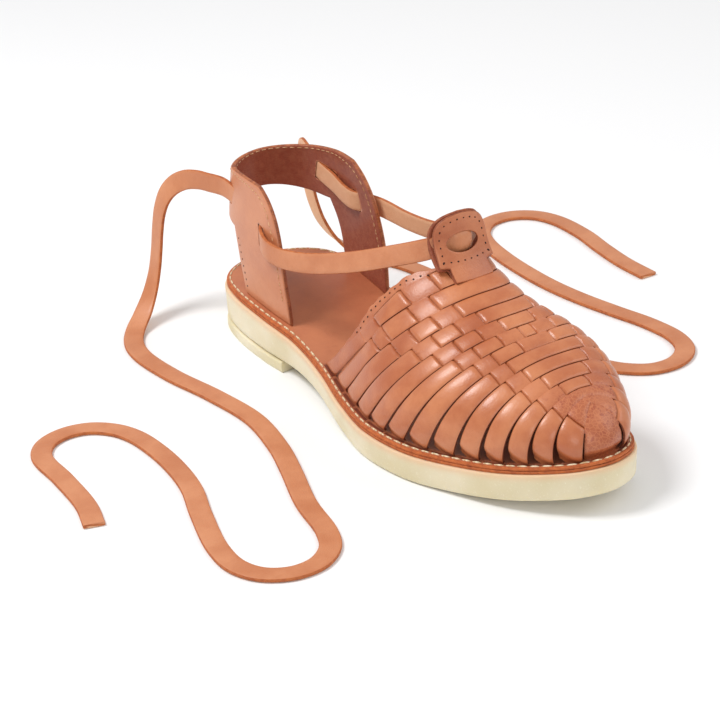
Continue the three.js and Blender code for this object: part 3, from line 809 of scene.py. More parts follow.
def linear(code: str) -> tuple[float, float, float, float]:
    """Turns a colour code into Blender's colour.

    Args:
        code: Six-figure hexadecimal sRGB code.

    Returns:
        Linear red, green and blue, and full alpha.
    """
    shares = [int(code[i:i + 2], 16) / 255 for i in (0, 2, 4)]
    plain = [s / 12.92 if s <= 0.04045 else ((s + 0.055) / 1.055) ** 2.4 for s in shares]
    return (*plain, 1.0)


def new_material(name: str) -> tuple[bpy.types.Material, Graph, bpy.types.Node]:
    """Starts a material.

    Args:
        name: Its name.

    Returns:
        The material, its graph and its Principled shader.
    """
    material = bpy.data.materials.new(name)
    material.use_nodes = True
    material.node_tree.nodes.clear()
    graph = Graph(material.node_tree)
    shader = graph.add("ShaderNodeBsdfPrincipled")
    graph.add("ShaderNodeOutputMaterial", {"Surface": shader.outputs[0]})
    return material, graph, shader


@dataclass(frozen=True)
class LeatherFinish:
    """Vegetable tanned leather with its grain side, rough side and cut edge, and painted shade in its
    crevices.
    """

    name: str
    light: str = "C87B51"
    dark: str = "AA5A35"
    back: str = "94462E"
    raw: str = "A95E36"
    raw_dark: str = "6A2C16"
    # Colour of the painted shade in crevices beside and under the strips, and in the footbed's slots
    crevice: str = "431810"
    worn: str = "A04F31"
    pebble: float = 900.0
    cloud: float = 45.0
    crease: float = 0.25
    bump: float = 0.25
    roughness: float = 0.38
    coat: float = 0.15

    def material(self, groups: dict) -> bpy.types.Material:
        """Builds the material.

        Args:
            groups: Shared node groups by name.

        Returns:
            The material.
        """
        material, g, shader = new_material(self.name)
        own = {"Pebble Scale": self.pebble, "Cloud Scale": self.cloud, "Crease": self.crease}
        grain, fibre = g.effect(groups["grain"], own), g.effect(groups["fibre"])
        edge, flesh, crevice, worn = (g.mark(name) for name in ("edge", "flesh", "crevice", "worn"))
        light, dark, back = linear(self.light), linear(self.dark), linear(self.back)
        face = g.blend(grain["Tone"], dark, light)
        face = g.blend(g.math("MULTIPLY", grain["Patch"], 0.22), face, dark)
        rubbed = g.math("MULTIPLY", worn, g.ramp(grain["Patch"], 0.0, 0.7, 0.35, 0.95))
        face = g.blend(rubbed, face, linear(self.worn))
        netted = g.math("MULTIPLY", worn, g.ramp(grain["Net"], 0.02, 0.12, 0.6, 0.0))
        face = g.blend(netted, face, light)
        rough_side = g.blend(0.72, g.blend(fibre["Tone"], back, light), back)
        face = g.blend(g.ramp(flesh, 0.4, 0.6), face, rough_side)
        raw = g.blend(fibre["Tone"], linear(self.raw_dark), linear(self.raw))
        face = g.blend(g.ramp(edge, 0.35, 0.85), face, raw)
        # Painted shade: where the mesh is marked as lying in a crevice, the colour goes dark.
        face = g.blend(g.ramp(crevice, 0.1, 1.0), face, linear(self.crevice))
        rough = g.math("ADD", self.roughness - 0.06, g.math("MULTIPLY", grain["Tone"], 0.12))
        rough = g.math("ADD", rough, g.math("MULTIPLY", g.math("MAXIMUM", edge, flesh), 0.35))
        height = g.math("ADD", grain["Height"], g.math("MULTIPLY", edge, fibre["Height"]))
        g.feed(shader, {
            "Base Color": face,
            "Roughness": rough,
            "Coat Weight": self.coat,
            "Coat Roughness": 0.18,
            "Specular IOR Level": 0.5,
            "Normal": g.bump(height, self.bump, 0.0004),
        })
        return material


@dataclass(frozen=True)
class EdgeFinish:
    """Stained raw edge of the leather sole layers."""

    name: str
    light: str = "D07238"
    dark: str = "9C471C"

    def material(self, groups: dict) -> bpy.types.Material:
        """Builds the material.

        Args:
            groups: Shared node groups by name.

        Returns:
            The material.
        """
        material, g, shader = new_material(self.name)
        fibre = g.effect(groups["fibre"], {"Fibre Scale": 1100.0})
        g.feed(shader, {
            "Base Color": g.blend(fibre["Tone"], linear(self.dark), linear(self.light)),
            "Roughness": g.math("ADD", 0.55, g.math("MULTIPLY", fibre["Tone"], 0.2)),
            "Normal": g.bump(fibre["Height"], 0.6, 0.0005),
        })
        return material


@dataclass(frozen=True)
class CrepeFinish:
    """Natural crepe rubber, pale and slightly clear, with a warm tint under the leather."""

    name: str
    light: str = "E9DEC2"
    dark: str = "DACDA8"
    speck: str = "FBF7E6"
    tint: str = "E6BA92"

    def material(self, groups: dict) -> bpy.types.Material:
        """Builds the material.

        Args:
            groups: Shared node groups by name.

        Returns:
            The material.
        """
        material, g, shader = new_material(self.name)
        crumb = g.effect(groups["crumb"])
        face = g.blend(crumb["Cloud"], linear(self.dark), linear(self.light))
        face = g.blend(g.math("MULTIPLY", crumb["Speck"], 0.45), face, linear(self.speck))
        face = g.blend(g.math("MULTIPLY", g.ramp(g.mark("rim"), 0.0, 1.0), 0.75), face, linear(self.tint))
        g.feed(shader, {
            "Base Color": face,
            "Roughness": g.math("SUBTRACT", 0.62, g.math("MULTIPLY", crumb["Speck"], 0.22)),
            "Subsurface Weight": 0.25,
            "Subsurface Radius": (0.006, 0.005, 0.003),
            "Subsurface Scale": 1.0,
            "Normal": g.bump(crumb["Height"], 0.35, 0.0005),
        })
        return material


@dataclass(frozen=True)
class ThreadFinish:
    """Waxed thread, or a dark bead that paints the shade in a needle hole."""

    name: str
    light: str = "F0E0C0"
    dark: str = "C9A97C"
    roughness: float = 0.6

    def material(self, groups: dict) -> bpy.types.Material:
        """Builds the material.

        Args:
            groups: Shared node groups by name; thread uses none of them.

        Returns:
            The material.
        """
        material, g, shader = new_material(self.name)
        where = g.add("ShaderNodeTexCoord").outputs["Object"]
        sockets = {"Vector": where, "Scale": 420.0, "Distortion": 1.5, "Detail": 2.0}
        ply = g.add("ShaderNodeTexWave", sockets, bands_direction="DIAGONAL").outputs["Fac"]
        g.feed(shader, {
            "Base Color": g.blend(ply, linear(self.dark), linear(self.light)),
            "Roughness": self.roughness,
            "Normal": g.bump(ply, 0.4, 0.0002),
        })
        return material


# Sole


class SoleShape:
    """Outline and heights of the sole."""

    OUTLINE = (
        (4, 14.3, -16.8), (14, 25.2, -27.8), (32, 30.7, -32.7), (58, 32.8, -31.0), (84, 32.5, -28.5),
        (110, 36.2, -27.2), (138, 43.2, -28.5), (163, 47.4, -32.8), (188, 45.2, -38.5), (212, 36.9, -38.5),
        (233, 27.4, -33.5), (248, 16.5, -26.9), (256.5, 7.4, -18.8),
    )
    HEEL_APEX_X = -1.2
    TOE_TIP_X = -5.9
    # Heights above the floor, and where along the sole each change of height starts and how long it runs
    LIFT = 5.0
    HEEL_HEIGHT = 20.7
    FRONT_HEIGHT = 11.9
    WEDGE_START, WEDGE_RUN = 38, 124
    ARCH_START, ARCH_RUN = 90, 70
    TOE_START, TOE_RISE = 182, 9.1
    KEY_COUNT = 1401
    KEY_STEP = 0.0005

    def __init__(self) -> None:
        """Lays out the closed outline."""
        lateral = [(x, y) for y, x, _ in self.OUTLINE]
        medial = [(x, y) for y, _, x in reversed(self.OUTLINE)]
        self.ring = np.array([(self.HEEL_APEX_X, 0), *lateral, (self.TOE_TIP_X, LENGTH), *medial], float)
        self.keys = np.linspace(0, TIP_KEY, self.KEY_COUNT)

    def toe_rise(self, y: np.ndarray) -> np.ndarray:
        """Rise of the toe above the tread.

        Args:
            y: Distance from the heel.

        Returns:
            Heights in mm.
        """
        return self.TOE_RISE * np.clip((y - self.TOE_START) / (LENGTH - self.TOE_START), 0, 1) ** 2

    def crepe_top(self, y: np.ndarray) -> np.ndarray:
        """Top of the crepe.

        Args:
            y: Distance from the heel.

        Returns:
            Heights above the floor.
        """
        wedge = smooth((y - self.WEDGE_START) / self.WEDGE_RUN)
        return mix(self.HEEL_HEIGHT, self.FRONT_HEIGHT, wedge) + self.toe_rise(y)

    def crepe_bottom(self, y: np.ndarray) -> np.ndarray:
        """Underside of the crepe.

        Args:
            y: Distance from the heel.

        Returns:
            Heights above the floor.
        """
        return mix(self.LIFT + GAP, 0.0, smooth((y - self.ARCH_START) / self.ARCH_RUN)) + self.toe_rise(y)

    def footbed_top(self, y: np.ndarray) -> np.ndarray:
        """Top of the footbed.

        Args:
            y: Distance from the heel.

        Returns:
            Heights above the floor.
        """
        return self.crepe_top(y) + 2 * (GAP + LEATHER)

    def at(self, side: np.ndarray, key: np.ndarray, inset: np.ndarray) -> np.ndarray:
        """Point of the outline, moved inwards.

        Args:
            side: 1 for the lateral side, -1 for the medial one.
            key: 0 at the heel to TIP_KEY at the toe.
            inset: Distance inwards.

        Returns:
            Points with x and y.
        """
        turn = np.where(np.asarray(side) > 0, key, 2 * TIP_KEY - np.asarray(key)) / (2 * TIP_KEY)
        point = spline(self.ring, turn, True)
        ahead, behind = (spline(self.ring, turn + step, True) for step in (self.KEY_STEP, -self.KEY_STEP))
        along = unit(ahead - behind)
        inset = np.asarray(inset, float)
        return np.stack([point[..., 0] - along[..., 1] * inset, point[..., 1] + along[..., 0] * inset], -1)

    def at_y(self, side: int, y: np.ndarray, inset: float) -> np.ndarray:
        """Point of the outline at a distance from the heel.

        Args:
            side: 1 for the lateral side, -1 for the medial one.
            y: Distance from the heel.
            inset: Distance inwards, the same everywhere.

        Returns:
            Points with x and y.
        """
        key = np.interp(y, rising(self.at(side, self.keys, inset)[:, 1]), self.keys)
        return self.at(side, key, inset)


def lifted(height: Callable, rise: float) -> Callable:
    """Moves a height up.

    Args:
        height: Height by distance from the heel.
        rise: How far it is moved.

    Returns:
        The moved height.
    """
    return lambda y: height(y) + rise


@dataclass
class Sole:
    """Crepe wedge with its heel lift, and the two leather layers on it."""

    LIFT_LEVELS = (
        (0.8, 0.0), (0.45, 0.08), (0.2, 0.3), (0.02, 0.9), (0.0, 4.1), (0.05, 4.6), (0.3, 4.9), (0.8, 5.0),
    )

    shape: SoleShape
    slots: Sequence[tuple[int, float, float]] = ()
    key_steps: int = 24
    slot_insets: tuple = (3.9, 5.3)
    slot_depth: float = 1.0
    slot_ease: float = 0.7
    breast: tuple = ((32.6, 73.5), (14, 74.2), (-4.7, 77.7), (-18, 83), (-28.6, 88.5))

    def stations(self) -> tuple[np.ndarray, np.ndarray]:
        """Places round the outline, counterclockwise from the heel.

        Returns:
            Side and key of each.
        """
        keys = np.arange(TIP_KEY * self.key_steps + 1) / self.key_steps
        return np.r_[np.ones(len(keys)), -np.ones(len(keys) - 2)], np.r_[keys, keys[-2:0:-1]]

    def stack(self, levels: Sequence[tuple[float, Callable]]) -> Body:
        """Closed layer of the sole.

        Args:
            levels: Inset and height of each level, lowest first.

        Returns:
            The body.
        """
        side, key = self.stations()
        rings = []
        for inset, height in levels:
            flat = self.shape.at(side, key, inset)
            rings.append(stack(flat[:, 0], flat[:, 1], height(flat[:, 1])))
        return loop_stack(np.array(rings), paired=True)

    def outsole(self) -> Body:
        """Crepe wedge, rounded below and slightly full at the side.

        Returns:
            The body, marked with rim.
        """
        bottom, top = self.shape.crepe_bottom, self.shape.crepe_top
        low, high = lifted(bottom, 2.0), lifted(top, -0.8)
        levels = [(2.1, bottom), (1.5, lifted(bottom, 0.15)), (1.0, lifted(bottom, 0.5)),
                  (0.6, lifted(bottom, 1.1)), (0.4, low)]
        for share in (0.25, 0.45, 0.65, 0.8, 0.9):
            levels.append((0.4 * (1 - share) ** 1.2, lambda y, s=share: mix(low(y), high(y), s)))
        levels += [(0.02, high), (0.1, lifted(top, -0.35)), (0.35, lifted(top, -0.08)), (0.8, top)]
        body = self.stack(levels)
        y, z = body.points[:, 1], body.points[:, 2]
        body.marks["rim"] = np.clip(1 - (top(y) - z) / 5.0, 0, 1) ** 1.5
        return body

    def heel_lift(self) -> Body:
        """Flat lift with a slanted front edge.

        Returns:
            The body.
        """
        ease = np.linspace(0, 1, 90) ** 2
        front = spline(self.breast, np.linspace(0, 1, 31), False)[1:-1]
        rings = []
        for inset, z in self.LIFT_LEVELS:
            heel = self.shape.at(1, 0.0, inset)
            lateral = self.shape.at_y(1, mix(heel[1], self.breast[0][1], ease), inset)
            medial = self.shape.at_y(-1, mix(heel[1], self.breast[-1][1], ease), inset)
            flat = np.vstack([lateral, front - np.array([0, 1.0]) * inset, medial[:0:-1]])
            rings.append(stack(flat[:, 0], flat[:, 1], np.full(len(flat), z)))
        return loop_stack(np.array(rings), paired=False)

    def midsole(self) -> Body:
        """Lower leather layer.

        Returns:
            The body.
        """
        low = lifted(self.shape.crepe_top, GAP * 0.3)
        high = lifted(self.shape.crepe_top, GAP + LEATHER)
        return self.stack([(1.5, low), (1.15, lifted(low, 0.06)), (1.0, lifted(low, 0.3)),
                           (0.95, lifted(high, -0.4)), (1.05, lifted(high, -0.08)), (1.4, high)])

    def footbed(self) -> Body:
        """Top layer, with a slot for the end of each strip.

        Returns:
            The body, marked with edge, and with painted shade in its slots.
        """
        top = self.shape.footbed_top
        low = lifted(top, -LEATHER - GAP * 0.7)
        rim = [(1.6, low), (1.2, lifted(low, 0.08)), (1.05, lifted(low, 0.35)),
               (1.05, lifted(top, -0.45)), (1.2, lifted(top, -0.15)), (1.6, lifted(top, -0.02))]
        flat = (2.2, 3.1, 3.6, *self.slot_insets, 5.6, 6.4, 8.0)
        body = self.stack([*rim, *((inset, top) for inset in flat)])
        side, _ = self.stations()
        rings = body.points.reshape(-1, len(side), 3)
        outer, inner = (len(rim) + flat.index(inset) for inset in self.slot_insets)
        depth = np.zeros(len(side))
        for slot_side, centre, half in self.slots:
            near = smooth((half - np.abs(rings[inner, :, 1] - centre)) / self.slot_ease + 0.5)
            depth = np.maximum(depth, np.where(side == slot_side, near, 0))
        rings[outer:inner + 1, :, 2] -= self.slot_depth * depth
        raw, dark = np.zeros(rings.shape[:2]), np.zeros(rings.shape[:2])
        raw[:len(rim)] = 1
        # Painted shade: each slot's floor is darkened as deep as it is sunk.
        dark[outer:inner + 1] = depth
        body.points = rings.reshape(-1, 3)
        body.marks.update(edge=raw.reshape(-1), crevice=dark.reshape(-1))
        return body

    def rim_line(self, inset: float, lift: float) -> tuple[np.ndarray, np.ndarray]:
        """Closed line round the footbed.

        Args:
            inset: Distance inwards.
            lift: Height over the footbed.

        Returns:
            The line and its upward directions.
        """
        side, key = self.stations()
        flat = self.shape.at(side, key, inset)
        line = stack(flat[:, 0], flat[:, 1], self.shape.footbed_top(flat[:, 1]) + lift)
        return line, np.tile([0.0, 0.0, 1.0], (len(line), 1))


# Woven vamp


class VampSurface:
    """Smooth surface of the vamp, by row of the weave and distance from the ridge."""

    RIDGE = ((150, -6.5, 79.5), (165, -7.2, 70.8), (180, -8, 64.3), (200, -8, 57.3), (220, -8, 50),
             (240, -7.5, 42.8), (252, -7, 37.8), (264, -6, 31.5))
    ROWS = ((-0.6, 110, 110, 160.5), (0, 115, 115, 165.5), (2, 140, 139, 181.5), (4, 165.5, 164, 196),
            (6, 191, 190, 208.5), (8, 215, 214, 221), (10, 235, 235, 234), (12, 251, 251, 243),
            (TOE_ROW, LENGTH, LENGTH, 247))
    FULLNESS = {
        1: ((-0.6, 1.9, 1.8, 1.2), (6, 2.0, 1.8, 1.4), (10, 2.2, 1.9, 1.8), (13.5, 2.6, 2.2, 2.2)),
        -1: ((-0.6, 4.4, 2.9, 2.6), (6, 4.4, 3.0, 3.4), (10, 3.4, 2.6, 3.2), (13.5, 2.6, 2.2, 2.2)),
    }
    BACK_ROW = -1.6
    # Steps of the tables, and how far to each side of a place its direction is measured
    FOOT_STEP, ROW_STEP, SHARES = 0.01, 0.05, 201
    PROBE_ROW, PROBE = 0.06, 0.7
    # Row at which the toe starts to round
    ROUND_ROW = 9

    def __init__(self, sole: SoleShape) -> None:
        """Prepares the tables that turn a distance from the ridge into a place on the surface."""
        self.sole = sole
        self.ridge = TableCurve(self.RIDGE)
        first, second = self.ROWS[0], self.ROWS[1]
        reach = (self.BACK_ROW - first[0]) / (second[0] - first[0])
        back = (self.BACK_ROW, *(a + (b - a) * reach for a, b in zip(first[1:], second[1:])))
        self.rows = TableCurve((back, *self.ROWS))
        self.full = {side: TableCurve(rows) for side, rows in self.FULLNESS.items()}
        self.feet = {side: self._foot_table(side) for side in SIDES}
        fine = np.arange(12, TOE_ROW, 0.005)
        self.fold_row = float(fine[np.argmax(self.rows(fine)[:, 0] >= LENGTH - UPPER_INSET)])
        self.row_grid = np.arange(self.BACK_ROW, TOE_ROW + 0.001, self.ROW_STEP)
        self.share = share = np.linspace(0, 1, self.SHARES)
        self.rise_grid, self.total_grid = {}, {}
        for side in SIDES:
            rise = np.broadcast_to(1 - share, (len(self.row_grid), len(share)))
            points = self.point(self.row_grid[:, None], side, rise)
            steps = np.linalg.norm(np.diff(points, axis=1), axis=-1)
            lengths = np.concatenate([np.zeros((len(steps), 1)), np.cumsum(steps, axis=1)], axis=1)
            total = lengths[:, -1]
            table_rise = [np.interp(share * t, line, 1 - share) for t, line in zip(total, lengths)]
            self.rise_grid[side], self.total_grid[side] = np.array(table_rise), total

    def _foot_table(self, side: int) -> tuple[np.ndarray, np.ndarray]:
        """Foot of the surface.

        Args:
            side: 1 lateral, -1 medial.

        Returns:
            Rows, and the foot point and outward direction at each.
        """
        rows = np.arange(self.BACK_ROW, TOE_ROW + 0.0001, self.FOOT_STEP)
        y = np.minimum(self.rows(rows)[:, 0 if side > 0 else 1], LENGTH - UPPER_INSET)
        key = np.interp(y, rising(self.sole.at(side, self.sole.keys, UPPER_INSET)[:, 1]), self.sole.keys)
        key = np.where(y > LENGTH - UPPER_INSET - 0.01, TIP_KEY, key)
        start = self.sole.at(side, key, UPPER_INSET)
        beyond = self.sole.at(side, key, UPPER_INSET - 1)
        return rows, np.concatenate([start, beyond - start], axis=1)

    def point(self, row: np.ndarray, side: int, rise: np.ndarray) -> np.ndarray:
        """Point of the surface.

        Args:
            row: Row of the weave.
            side: 1 lateral, -1 medial.
            rise: 0 at the footbed to 1 at the ridge.

        Returns:
            Points in mm.
        """
        row, rise = np.broadcast_arrays(np.asarray(row, float), np.asarray(rise, float))
        rows, table = self.feet[side]
        foot_x, foot_y, out_x, out_y = (np.interp(row, rows, table[:, k]) for k in range(4))
        middle = self.rows(row)[..., 2]
        full = self.full[side](row)
        angle = rise * np.pi / 2
        reach = np.maximum(np.cos(angle), 0) ** (2 / full[..., 0])
        lift = np.maximum(np.sin(angle), 0) ** (2 / full[..., 1])
        swell = full[..., 2] * np.sin(2 * angle)
        toe = np.clip((row - self.ROUND_ROW) / (TOE_ROW - self.ROUND_ROW), 0, 1) ** 1.5
        run = mix(1 - (1 - rise) ** 1.9, 1 - reach, toe)
        y = mix(foot_y, middle, run) + out_y * swell
        x = mix(self.ridge(middle)[..., 0], foot_x, reach) + out_x * swell
        z = mix(self.sole.footbed_top(y) + GAP, self.ridge(y)[..., 1], lift)
        return stack(x, y, z)

    def total(self, row: np.ndarray, side: int) -> np.ndarray:
        """Distance from the ridge to the footbed along a row.

        Args:
            row: Row of the weave.
            side: 1 lateral, -1 medial.

        Returns:
            The distance in mm.
        """
        return np.interp(row, self.row_grid, self.total_grid[side])

    def total_at(self, row: np.ndarray, distance: np.ndarray) -> np.ndarray:
        """Distance from the ridge to the footbed on the side that a place lies on.

        Args:
            row: Row of the weave.
            distance: Signed distance of the place from the ridge.

        Returns:
            The distance in mm.
        """
        return np.where(distance >= 0, self.total(row, 1), self.total(row, -1))

    def at(self, row: np.ndarray, distance: np.ndarray) -> np.ndarray:
        """Point at a distance from the ridge, positive to the lateral side.

        Args:
            row: Row of the weave.
            distance: Distance in mm; past the footbed the point goes on straight down.

        Returns:
            Points in mm.
        """
        row, distance = np.broadcast_arrays(np.asarray(row, float), np.asarray(distance, float))
        row = np.clip(row, self.BACK_ROW, TOE_ROW)
        found = np.zeros(row.shape + (3,))
        step = self.row_grid[1] - self.row_grid[0]
        for side in SIDES:
            mine = (distance >= 0) if side > 0 else (distance < 0)
            if not mine.any():
                continue
            r, d = row[mine], np.abs(distance[mine])
            total = self.total(r, side)
            place = np.clip((r - self.row_grid[0]) / step, 0, len(self.row_grid) - 1.001)
            share = np.clip(d / total, 0, 1) * (len(self.share) - 1)
            j, i = place.astype(int), np.minimum(share.astype(int), len(self.share) - 2)
            u, v = place - j, share - i
            table = self.rise_grid[side]
            rise = mix(mix(table[j, i], table[j, i + 1], v), mix(table[j + 1, i], table[j + 1, i + 1], v), u)
            point = self.point(r, side, np.clip(rise, 0, 1))
            point[:, 2] -= np.maximum(d - total, 0)
            found[mine] = point
        return found

    def normal(self, row: np.ndarray, distance: np.ndarray) -> np.ndarray:
        """Outward direction of the surface.

        Args:
            row: Row of the weave.
            distance: Signed distance from the ridge.

        Returns:
            Directions of length 1.
        """
        row, distance = np.broadcast_arrays(np.asarray(row, float), np.asarray(distance, float))
        d = np.sign(distance) * np.minimum(np.abs(distance), self.total_at(row, distance) - 0.8)
        r = np.clip(row, self.BACK_ROW + self.PROBE_ROW, self.fold_row - 0.1)
        across = self.at(r, d + self.PROBE) - self.at(r, d - self.PROBE)
        forward = self.at(r + self.PROBE_ROW, d) - self.at(r - self.PROBE_ROW, d)
        return unit(np.cross(across, forward))


# Per row, in bands of 5 mm from the ridge: floats of the strip, then where its side part starts
CHART = (
    (((2.0, 3.6), (6.5, 10.5)), 12.5), (((-1, 4.5), (6.5, 9.5)), 11.0), (((-1, 3.5), (5.5, 7.7)), 9.7),
    (((-1, 2.5), (4.5, 6.6)), 8.5), (((-1, 1.5), (3.5, 5.6)), 7.5), (((-1, 0.6), (2.5, 4.8)), 6.5),
    (((1.5, 4.0),), 5.6), (((-1, 3.5),), 5.0), (((-1, 2.9),), 4.5), (((-1, 2.1),), 4.0), (((-1, 1.3),), 3.5),
    ((), 2.9), ((), 2.4),
)


@dataclass
class WovenVamp:
    """Slit upper and the strips woven through it."""

    surface: VampSurface
    band: float = 5.0
    strip_thick: float = 1.15
    sheet_thick: float = 1.1
    under: float = 2.0
    raised: float = 0.45
    lowered: float = 1.5
    swell: float = 0.6
    tuck: float = 1.6
    back_strip: float = 12.0
    ear_from: float = 10.5
    back_edge: float = -0.6
    slit_margin: float = 2.4
    hole_start: float = 13.5
    hole_reach: float = 84.0
    row_length: float = 8.5

    def scale(self, row: int, side: int) -> float:
        """Scale of the chart, less than 1 where the row is short.

        Args:
            row: The row.
            side: 1 lateral, -1 medial.

        Returns:
            The scale.
        """
        total = float(self.surface.total(float(row), side))
        return min(CHART[row][1] * self.band, total * 0.62) / (CHART[row][1] * self.band)

    def side_start(self, row: np.ndarray, side: int) -> np.ndarray:
        """Distance from the ridge at which the side strips start.

        Args:
            row: The row.
            side: 1 lateral, -1 medial.

        Returns:
            The distance in mm.
        """
        known = [CHART[i][1] * self.band * self.scale(i, side) for i in range(len(CHART))]
        return np.interp(row, range(len(CHART)), known)

    def start_at(self, row: np.ndarray, distance: np.ndarray) -> np.ndarray:
        """The same distance, on the side that a place lies on.

        Args:
            row: The row.
            distance: Signed distance of the place from the ridge.

        Returns:
            The distance in mm.
        """
        return np.where(distance >= 0, self.side_start(row, 1), self.side_start(row, -1))

    def on_top(self, row: int, distance: np.ndarray, ease: float) -> np.ndarray:
        """How far the strip of a row lies over the sheet.

        Args:
            row: The row.
            distance: Signed distances from the ridge.
            ease: Distance over which it dives.

        Returns:
            1 where the strip is on top and 0 where it is under.
        """
        away = np.abs(distance)
        shown = np.zeros(np.shape(distance))
        for side in SIDES:
            scale = self.band * self.scale(row, side)
            mine = (distance >= 0) if side > 0 else (distance < 0)
            part = smooth((away - CHART[row][1] * scale) / ease + 0.5)
            for start, end in CHART[row][0]:
                rise = 1.0 if start < 0 else smooth((away - start * scale) / ease + 0.5)
                part = np.maximum(part, rise * smooth((end * scale - away) / ease + 0.5))
            shown = np.where(mine, part, shown)
        return shown

    def half_width(self, row: float, distance: np.ndarray) -> np.ndarray:
        """Half width of a strip, narrower towards the footbed.

        Args:
            row: The row.
            distance: Signed distances from the ridge.

        Returns:
            Shares of a row.
        """
        total, start = self.surface.total_at(row, distance), self.start_at(row, distance)
        down = np.clip((np.abs(distance) - start) / (total - start), 0, 1)
        foot = np.interp(row, [0, 4, 7, 10, 12], [0.47, 0.462, 0.435, 0.40, 0.41])
        return mix(0.472, foot, smooth(down) * down)

    def strip(self, row: int) -> Body:
        """One strip from footbed to footbed, over and under the sheet.

        Args:
            row: Its row.

        Returns:
            The body, marked with edge and flesh, and with painted shade where it runs under the sheet.
        """
        surface = self.surface
        reach = [float(surface.total(float(row), side)) + self.tuck for side in (-1, 1)]
        s = np.linspace(-reach[0], reach[1], int(sum(reach) / 0.95))
        half = (0.35, 0.66, 0.86, 0.955, 1)
        q = np.array([*(-share for share in reversed(half)), 0, *half])
        if row == 0:
            s = s[np.abs(s) < self.back_strip * self.band]
        rows = row + q[:, None] * self.half_width(float(row), s)[None, :]
        dist = np.broadcast_to(s, rows.shape)
        total, start = surface.total_at(float(row), s), self.start_at(row, s)
        side_part = np.clip((np.abs(s) - start) / (total - start), 0, 1)
        shown = self.on_top(row, s, 2.4)
        level = mix(-self.under, 0.3, shown)
        fullness = np.interp(row, [1, 4, 8, 12], [0.2, 0.8, 1.3, 0.9])
        swell = fullness * np.sin(np.pi * np.clip(side_part * 1.05, 0, 1)) ** 1.5
        curl = 2.6 * smooth((np.abs(s) - (total - 5.5)) / 6.5) ** 1.4
        dome = mix(0.5, 0.8, side_part)[None, :] * np.abs(q[:, None]) ** 2.6
        edge_drop = np.where(np.abs(q) > 0.99, 0.22, np.where(np.abs(q) > 0.95, 0.06, 0.0))[:, None]
        top = (level + swell - curl)[None, :] - dome - edge_drop
        bottom = top - self.strip_thick + 2 * edge_drop
        grid, normal = surface.at(rows, dist), surface.normal(rows, dist)
        outer, inner = grid + normal * top[..., None], grid + normal * bottom[..., None]
        count, length = rows.shape
        points = np.vstack([outer.reshape(-1, 3), inner.reshape(-1, 3)])
        ids = np.arange(count * length).reshape(count, length)
        shift = count * length
        faces = skin_faces(ids, np.ones((count - 1, length - 1), bool))
        for line, flip in ((ids[0], False), (ids[-1], True), (ids[:, 0], True), (ids[:, -1], False)):
            p, n = (line[1:], line[:-1]) if flip else (line[:-1], line[1:])
            faces += [*zip(n, p, p + shift, n + shift)]
        edge = np.where(np.abs(q) > 0.97, 1.0, 0.0)[:, None] * np.ones(length)
        # Painted shade where the strip dives under the sheet.
        shade_under_sheet = (1 - shown)[None, :] * np.ones((count, 1))
        marks = {
            "edge": np.tile(edge.reshape(-1), 2),
            "flesh": np.r_[np.zeros(shift), np.ones(shift)],
            "crevice": np.tile(shade_under_sheet.reshape(-1), 2) * 0.9,
        }
        faces = [tuple(int(v) for v in face) for face in faces]
        return Body(points, faces, marks)

    def strips(self) -> Body:
        """All strips as one piece.

        Returns:
            The body.
        """
        whole = self.strip(0)
        for row in range(1, len(CHART)):
            whole = whole.joined(self.strip(row))
        return whole

    def topline(self, distance: np.ndarray) -> np.ndarray:
        """Back edge of the sheet, scalloped over the ear.

        Args:
            distance: Signed distances from the ridge.

        Returns:
            Rows.
        """
        away = np.abs(distance)
        lateral = np.interp(away, [0, 12, 24, 38, 46, 58, 70, 84, 96, 110],
                            [-0.62, -0.66, -0.98, -1.22, -1.30, -0.98, -0.72, -0.62, -0.60, -0.60])
        return lateral + 0.035 * np.sin(away * 0.9) * (away > 14) * (away < 80)

    def sheet_height(self, rows: np.ndarray, dist: np.ndarray) -> tuple[np.ndarray, np.ndarray]:
        """Relief of the sheet.

        Args:
            rows: Rows of its grid.
            dist: Signed distances from the ridge.

        Returns:
            Height of its outer face, and how deep it is pressed under a strip, from 0 to 1.
        """
        index = np.clip(np.round(rows), 0, len(CHART) - 1).astype(int)
        pressed = np.zeros(rows.shape)
        passing = np.zeros(rows.shape)
        for i in range(len(CHART)):
            mine = index == i
            if not mine.any():
                continue
            d = dist[mine]
            q = np.abs(rows[mine] - i) / self.half_width(float(i), d)
            over = self.on_top(i, d, 0.9)
            beyond = np.abs(d) > self.start_at(i, d) - 0.3
            inside = smooth((1.07 - q) / 0.08)
            if i == 0:
                over = np.where(np.abs(d) > self.ear_from * self.band, 0.0, over)
                beyond = np.zeros(beyond.shape, bool)
            pressed[mine] = over * np.where(beyond, 1.0, inside)
            passing[mine] = (1 - over) * np.cos(np.clip(q, 0, 1.06) / 1.06 * np.pi / 2) ** 0.8
        plain = rows > 12.45
        pressed = np.where(plain, 0, pressed)
        passing = np.where(plain, 0, passing)
        ear = smooth((np.abs(dist) - 60) / 8) * (rows < 0.5)
        height = mix(-self.raised, -self.lowered, pressed) + self.swell * passing * (1 - pressed)
        return height + 0.5 * ear, pressed

    def place(self, row: np.ndarray, column: np.ndarray) -> np.ndarray:
        """Where a column of the sheet's grid lies.

        Args:
            row: Rows.
            column: 0 at the ridge, 1 where the slits end and 2 at the tucked foot, less than 0 medially.

        Returns:
            Signed distances from the ridge.
        """
        total = self.surface.total_at(row, column) + self.tuck
        border = np.minimum(self.start_at(row, column) + self.slit_margin, total - 2)
        share = np.abs(column)
        return np.sign(column) * np.where(share <= 1, share * border, mix(border, total, share - 1))

